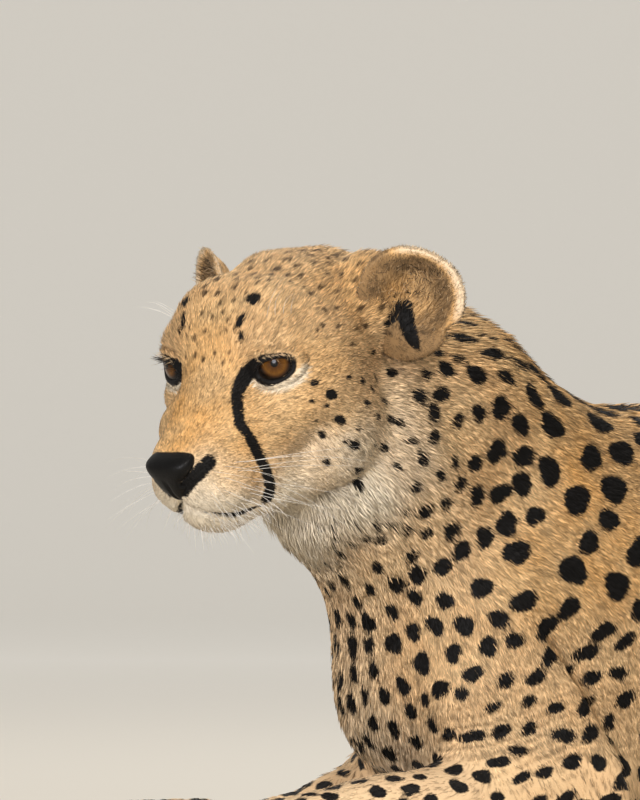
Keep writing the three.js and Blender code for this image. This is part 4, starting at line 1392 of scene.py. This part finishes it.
# Thin three-sided hairs that taper to a point and bend towards droop.
def strands(name, roots, ways, lengths, thickness, droop, material, steps=6, seed=3):
    draw = np.random.default_rng(seed)
    count = len(roots)
    way = unit(ways)
    bend = np.asarray(droop, float) + draw.normal(0, 0.12, (count, 3))
    side = unit(np.cross(way, bend + 0.01))
    other = unit(np.cross(way, side))
    turns = [2 * math.pi * k / 3 for k in range(3)]
    spokes = [side * math.cos(a) + other * math.sin(a) for a in turns]
    rows = []
    for i in range(steps + 1):
        t = i / steps
        centre = roots + way * (lengths * t)[:, None] + bend * (lengths * t * t)[:, None]
        wide = thickness * (1 - t) ** 0.7 / 2
        if i == steps:
            rows.append(centre[:, None])
        else:
            rows.append(np.stack([centre + wide * spoke for spoke in spokes], 1))
    points = np.concatenate(rows, 1)
    each = points.shape[1]
    faces = [(0, 2, 1)]
    for i in range(steps):
        for k in range(3):
            a, b = 3 * i + k, 3 * i + (k + 1) % 3
            if i == steps - 1:
                faces.append((a, b, each - 1))
            else:
                faces += [(a, b, b + 3), (a, b + 3, a + 3)]
    allFaces = (np.array(faces)[None] + each * np.arange(count)[:, None, None]).reshape(-1, 3)
    mesh = bpy.data.meshes.new(name)
    mesh.from_pydata((points.reshape(-1, 3) * mm).tolist(), [], allFaces.tolist())
    mesh.materials.append(material)
    mesh.shade_smooth()
    hairs = placed(name, mesh)
    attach(hairs, "root")
    return hairs


# The skin's nearest points to places in the head's axes.
def onSkin(places):
    return np.array([skinTree.find(p)[1] for p in fromHead(places).tolist()])


whiskerSettings = {
    "rows": 4,
    "columns": 5,
    "shortest": (26, 46),  # of the foremost, each column behind them being longer by
    "longer": 7,
    "overEye": (22, 36),
    "thickness": 0.3,
    "droop": (-0.25, 0, -0.22),
}


def makeWhiskers():
    w = whiskerSettings
    draw = np.random.default_rng(5)
    places, ways, lengths = [], [], []
    for side in (-1, 1):
        for row in range(w["rows"]):
            for column in range(w["columns"]):
                place = (44 - 5 * column, side * (17 + 3.2 * column), -53 - 4.6 * row + 0.3 * column)
                places.append(place)
                ways.append((0.45 - 0.3 * column, side * (1.0 + 0.05 * column), 0.12 - 0.2 * row))
                lengths.append(draw.uniform(*w["shortest"]) + w["longer"] * column)
        for column in range(4):
            places.append((-4 - 4 * column, side * (34 + 3 * column), 27))
            ways.append((0.5, side * 0.5, 0.8))
            lengths.append(draw.uniform(*w["overEye"]))
    index = onSkin(np.array(places, float))
    ways = np.array(ways) + draw.normal(0, 0.1, (len(ways), 3))
    droop = np.array(w["droop"]) @ headAxes
    roots = skinPoints[index]
    strands(
        "whiskers", roots, ways @ headAxes, np.array(lengths), w["thickness"], droop, whiskerHair, steps=9
    )


bristleSettings = {
    "count": 260,
    "spread": ((2, 44), (-34, 34), (-96, -74)),  # forward, left and up
    "length": (5, 14),
    "thickness": 0.32,
}


# Short stray hairs on the chin and the lips.
def makeBristles():
    draw = np.random.default_rng(6)
    b = bristleSettings
    count = b["count"]
    places = np.stack([draw.uniform(*span, count) for span in b["spread"]], 1)
    index = onSkin(places)
    ways = skinNormals[index] * 0.8 + skinCombs[index, :3] * 0.6 + draw.normal(0, 0.2, (count, 3))
    lengths = draw.uniform(*b["length"], count)
    strands(
        "chinBristles", skinPoints[index], ways, lengths, b["thickness"], (0, 0, -0.2), whiskerHair, steps=4
    )


browSettings = {
    "count": 60,
    "from": 28,  # degrees round the eye
    "to": 140,
    "length": (2.5, 6),
    "thickness": 0.45,
}


# Pale hairs of the brow that hang over the dark rim of the upper lid.
def makeBrows():
    draw = np.random.default_rng(9)
    b = browSettings
    roots, ways = [], []
    for side in (-1, 1):
        for turn in np.radians(draw.uniform(b["from"], b["to"], b["count"])):
            point = lidPoint(side, turn, draw.uniform(1.3, 1.6), 1.2)
            ahead = lidPoint(side, turn - 0.7, 1.12, 3.2)
            roots.append(point)
            ways.append(unit(ahead - point) + np.array((0.25, side * 0.1, 0)))
    roots, ways = fromHead(np.array(roots)), np.array(ways) @ headAxes
    ways = unit(ways) + draw.normal(0, 0.3, ways.shape)
    lengths = draw.uniform(*b["length"], len(roots))
    strands("browHairs", roots, ways, lengths, b["thickness"], headUp * -0.15, paleHair, steps=3)


earHairSettings = {
    "pale": {"count": 700, "around": (-1.2, 3.0)},  # radians round the cup, from outward to inward
    "dark": {"count": 1400, "around": (0.2, 3.7)},
    "length": (4, 10),
    "thickness": 0.55,
}


# Loose hairs, pale and dark, that lie over one another in the cup of each ear.
def makeEarHairs():
    draw = np.random.default_rng(10)
    e = earHairSettings
    kinds = [("earPaleHairs", e["pale"], paleHair), ("earDarkHairs", e["dark"], shadeHair)]
    for name, kind, material in kinds:
        roots, ways = [], []
        for side in (-1, 1):
            for around in draw.uniform(*kind["around"], kind["count"] // 2):
                reach = 0.85 * draw.random() ** 0.6
                roots.append(earPoint(reach, around, side, 1.5))
                out = earPoint(reach + 0.15, around + draw.normal(0, 0.6), side, 6.5)
                ways.append(unit(out - roots[-1]) + np.array((0.2, 0, 0)) @ headAxes)
        ways = unit(np.array(ways)) + draw.normal(0, 0.3, (len(ways), 3))
        lengths = draw.uniform(*e["length"], len(roots))
        strands(name, np.array(roots), ways, lengths, e["thickness"], headUp * 0.1, material, steps=4)


lashSettings = {"count": 34, "length": (4, 8), "thickness": 0.4}  # on each upper lid


def makeLashes():
    draw = np.random.default_rng(8)
    roots, ways = [], []
    for side in (-1, 1):
        for share in np.linspace(0.12, 0.92, lashSettings["count"]):
            turn = math.pi * (1 - share)
            point = lidPoint(side, turn, 1.02, 1.2)
            out = point - (intoHead(eyeCentres["left"]) * np.array((1, side, 1)))
            roots.append(point)
            ways.append(unit(out) + np.array((-0.2, side * 0.5, -0.15)))
    roots, ways = fromHead(np.array(roots)), np.array(ways) @ headAxes
    ways = unit(ways) + draw.normal(0, 0.12, ways.shape)
    lengths = draw.uniform(*lashSettings["length"], len(roots))
    strands("lashes", roots, ways, lengths, lashSettings["thickness"], headUp * 0.1, darkHair, steps=3)


clawSettings = {"segments": 14, "cuts": 7, "tip": 0.16}  # the tip's breadth, as a share of the root's


# Smooth blunt hooks, each inside its own node's box.
def makeClaws():
    c = clawSettings
    for name in [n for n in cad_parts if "_claw_" in n]:
        low, high = corners(name)
        size = high - low
        bm = bmesh.new()
        bmesh.ops.create_cone(
            bm, cap_ends=True, segments=c["segments"], radius1=1, radius2=c["tip"], depth=1
        )
        around = [e for e in bm.edges if abs(e.verts[0].co.z - e.verts[1].co.z) > 0.5]
        bmesh.ops.subdivide_edges(bm, edges=around, cuts=c["cuts"])
        bmesh.ops.remove_doubles(bm, verts=bm.verts, dist=1e-5)
        for v in bm.verts:
            along = v.co.z + 0.5
            taper = math.sqrt(max(1 - along**1.6, 0.02)) / max(1 - (1 - c["tip"]) * along, c["tip"])
            x = high[0] - size[0] * along
            y = (low[1] + high[1]) / 2 + v.co.x * taper * size[1] * 0.48
            z = high[2] - size[2] * (0.3 + 0.52 * along * along) + v.co.y * taper * size[2] * 0.28
            v.co = Vector((x, y, z)) * mm
        bmesh.ops.recalc_face_normals(bm, faces=bm.faces)
        mesh = meshFrom(bm, f"{name}_hook")
        mesh.materials.append(clawHorn)
        mesh.shade_smooth()
        claw = placed(f"{name}_hook", mesh)
        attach(claw, "root")
        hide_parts(name)


stageSettings = {
    "floor": "#cdc9c0",
    "backdrop": "#f4f0e8",  # paler, since less light falls so far back
    "glow": 0.22,  # what the camera sees of the backdrop beyond its own light
    "behind": 7.2,  # metres from the animal to the foot of the backdrop, so it can be walked round
    "height": 5.0,
    "bend": 2.0,
    "width": 15.0,
    "room": "#f4f2ee",  # the air's own even light
    "roomLight": 0.45,
}


# Matt seamless paper: no sheen, so the animal's soft shadow is all that it shows.
def paperMaterial():
    material, tree = emptyMaterial("mattSeamlessPaper")
    place = node(tree, "ShaderNodeTexCoord").outputs["Object"]
    along = {0: place, 1: tuple(cameraAhead)}
    ahead = node(tree, "ShaderNodeVectorMath", along, operation="DOT_PRODUCT").outputs["Value"]
    share = node(tree, "ShaderNodeMapRange", {0: ahead, 1: 0.4, 2: 5.0}).outputs[0]
    shades = {6: srgb(stageSettings["floor"]), 7: srgb(stageSettings["backdrop"])}
    colour = node(tree, "ShaderNodeMix", {0: share, **shades}, data_type="RGBA").outputs[2]
    rays = node(tree, "ShaderNodeLightPath").outputs
    eitherRay = {0: rays["Is Camera Ray"], 1: rays["Is Glossy Ray"]}
    seen = node(tree, "ShaderNodeMath", eitherRay, operation="MAXIMUM").outputs[0]
    far = node(tree, "ShaderNodeMath", {0: seen, 1: share}, operation="MULTIPLY").outputs[0]
    glow = node(tree, "ShaderNodeMath", {0: far, 1: stageSettings["glow"]}, operation="MULTIPLY").outputs[0]
    inputs = {"Base Color": colour, "Roughness": 0.95, "Emission Color": colour, "Emission Strength": glow}
    shader = node(tree, "ShaderNodeBsdfPrincipled", inputs)
    node(tree, "ShaderNodeOutputMaterial", {"Surface": shader.outputs[0]})
    return material


cameraSettings = {
    "azimuth": -30.0,  # degrees; 0 looks along +Y
    "distance": 6.0,
    "frameHeight": 0.464,  # metres that the frame covers at the head
    "right": 55.8,  # from the point between the irises to the middle of the frame
    "down": 19.7,
    "sensor": 36,
}
azimuth = math.radians(cameraSettings["azimuth"])
cameraRight = np.array((math.cos(azimuth), math.sin(azimuth), 0))
cameraAhead = np.array((-math.sin(azimuth), math.cos(azimuth), 0))


def makeStage():
    bm = bmesh.new()
    half = stageSettings["width"] / 2
    far, bend = stageSettings["behind"], stageSettings["bend"]
    path = [(-half, 0.0), (far, 0.0)]
    turns = np.linspace(0, math.pi / 2, 13)[1:]
    path += [(far + bend * math.sin(a), bend * (1 - math.cos(a))) for a in turns]
    path += [(far + bend, stageSettings["height"])]
    ahead, up = path[0]
    front = [cameraAhead * ahead + cameraRight * across for across in (-half, half)]
    edge = bm.edges.new([bm.verts.new(Vector(p)) for p in front])
    for nextAhead, nextUp in path[1:]:
        made = bmesh.ops.extrude_edge_only(bm, edges=[edge])["geom"]
        edge = next(g for g in made if isinstance(g, bmesh.types.BMEdge))
        move = cameraAhead * (nextAhead - ahead) + np.array((0, 0, nextUp - up))
        bmesh.ops.translate(bm, vec=Vector(move), verts=edge.verts[:])
        ahead, up = nextAhead, nextUp
    bmesh.ops.recalc_face_normals(bm, faces=bm.faces)
    stage = placed("seamlessPaper", meshFrom(bm, "seamlessPaper"))
    stage.data.materials.append(paperMaterial())
    stage.data.shade_smooth()


def makeCamera():
    aim = headOrigin * mm + cameraRight * cameraSettings["right"] * mm
    aim[2] -= cameraSettings["down"] * mm
    data = bpy.data.cameras.new("camera")
    data.sensor_width = cameraSettings["sensor"]
    data.lens = data.sensor_width * cameraSettings["distance"] / cameraSettings["frameHeight"]
    data.clip_end = 50
    camera = bpy.data.objects.new("camera", data)
    camera.location = Vector(aim - cameraAhead * cameraSettings["distance"])
    camera.rotation_euler = (math.radians(90), 0, azimuth)
    scene.collection.objects.link(camera)
    scene.camera = camera


lamps = [
    # name, metres right, ahead and up from the head, size, watts, colour
    ("keyLight", 0.7, -2.5, 1.9, 1.3, 58, "#fff8ef"),
    ("fillLight", -0.9, -2.9, 0.3, 1.1, 60, "#f8f8ff"),
    ("rimLight", 0.9, 1.6, 3.0, 1.4, 68, "#fff8ee"),
]


def makeLamps():
    for name, right, ahead, up, size, watts, colour in lamps:
        data = bpy.data.lights.new(name, "AREA")
        data.shape = "DISK"
        data.size = size
        data.energy = watts
        data.color = srgb(colour)[:3]
        lamp = bpy.data.objects.new(name, data)
        place = headOrigin * mm + cameraRight * right + cameraAhead * ahead + np.array((0, 0, up))
        lamp.location = Vector(place)
        towards = Vector(headOrigin * mm) - lamp.location
        lamp.rotation_euler = towards.to_track_quat("-Z", "Y").to_euler()
        scene.collection.objects.link(lamp)
    world = bpy.data.worlds.new("softRoom")
    world.use_nodes = True
    world.node_tree.nodes["Background"].inputs["Color"].default_value = srgb(stageSettings["room"])
    world.node_tree.nodes["Background"].inputs["Strength"].default_value = stageSettings["roomLight"]
    scene.world = world


makeStage()
makeCamera()
makeLamps()
scene.view_settings.view_transform = "Standard"
print("stage, camera and lamps")


skinFur = coatMaterial("shortCoatUnderfur", False)
tuftFur = coatMaterial("shortCoatGuardHair", True)
eyeGlass = eyeMaterial()
whiskerHair = hairMaterial("whiteWhisker", "#f1ece2", 0.4)
darkHair = hairMaterial("darkLash", "#17120e", 0.45)
paleHair = hairMaterial("paleGuardHair", "#dcbc90", 0.6)
shadeHair = hairMaterial("darkGuardHair", "#2c1c10", 0.6)
clawHorn = hairMaterial("hornClaw", "#2b231d", 0.3)

ink, smoke = markings(skinPoints)
setAttribute(skinMesh, "ink", ink)
setAttribute(skinMesh, "smoke", smoke)
setAttribute(skinMesh, "pale", skinCombs[:, 5])
setAttribute(skinMesh, "strand", np.full(len(skinPoints), 0.5))
# The skin lies at the hairs' roots, so it takes part of their root colour and painted shade
setAttribute(skinMesh, "along", np.full(len(skinPoints), 0.3))
skinMesh.materials.append(skinFur)
skinMesh.shade_smooth()
skin = placed("skin", skinMesh)
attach(skin, "root")
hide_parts(*[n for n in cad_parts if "eye_" not in n and "_claw_" not in n and n != "nose"])


# Which triangles each piece of the coat grows on, and how many tufts it has.
def coatRegions():
    centre = skinPoints[triangles].mean(1)
    q, w = intoHead(centre), centre - bodyOrigin
    bare = isBare(triangles)
    left = w[:, 1] < 0
    head = bare & (q[:, 0] > -100) & (q[:, 2] > -104) & (np.abs(q[:, 1]) < 95)
    face = head & (q[:, 0] > -36)
    tail = bare & ((w[:, 0] > 594) | (w[:, 1] < -186))
    foot = bare & ~head & ~tail & (((w[:, 0] < 40) & (w[:, 2] < 76)) | ((w[:, 0] > 300) & (w[:, 2] < 48)))
    rest = bare & ~head & ~tail & ~foot
    neck = rest & ((w[:, 0] + 128) * 0.61 - (w[:, 2] - 172) * 0.79 < 0) & (w[:, 0] < 30)
    rest &= ~neck
    shoulder = rest & (w[:, 0] < 60)
    trunk = rest & (w[:, 0] >= 60) & (w[:, 0] < 300)
    haunch = rest & (w[:, 0] >= 300)
    ears = ~bare & (q[:, 0] < -45)
    opening = np.array([lidPoint(1, t, 1.0, 1.0) for t in np.linspace(0, 2 * math.pi, 40)])
    folded = ontoLeft(q)
    lids = ~bare & ~ears
    lids[lids] = np.linalg.norm(folded[lids][:, None] - opening[None], axis=2).min(1) > 1.5
    face &= np.linalg.norm(folded - eyeballCentre, axis=1) > eyeSettings["radius"] + 0.6
    return [
        ("coat_face", face | lids, 31000, 1.0),
        ("coat_crown", head & ~face, 32000, 1.0),
        ("coat_ears", ears, 16000, 1.0),
        ("coat_neck_left", neck & left, 32000, 1.0),
        ("coat_neck_right", neck & ~left, 16000, 1.4),
        ("coat_shoulder_left", shoulder & left, 32000, 1.1),
        ("coat_shoulder_right", shoulder & ~left, 14000, 1.7),
        ("coat_trunk", trunk, 22000, 2.0),
        ("coat_haunches", haunch, 22000, 2.0),
        ("coat_legs", foot, 25000, 1.3),
        ("coat_tail", tail, 8000, 1.6),
    ]


for i, (name, chosen, tufts, coarse) in enumerate(coatRegions()):
    share = 1
    piece = growCoat(name, chosen, int(tufts * share), coarse, 20 + i, name != "coat_ears")
    piece.data.materials.append(tuftFur)
    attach(piece, "root")
    print(name, len(piece.data.polygons), "triangles")

for side, name in ((-1, "right"), (1, "left")):
    makeEye(name, side)
makeNose()
makeWhiskers()
makeBristles()
makeBrows()
makeEarHairs()
makeLashes()
makeClaws()
print("eyes, nose, whiskers and claws")


def flat(corner):
    return [list(c) for c in corner]
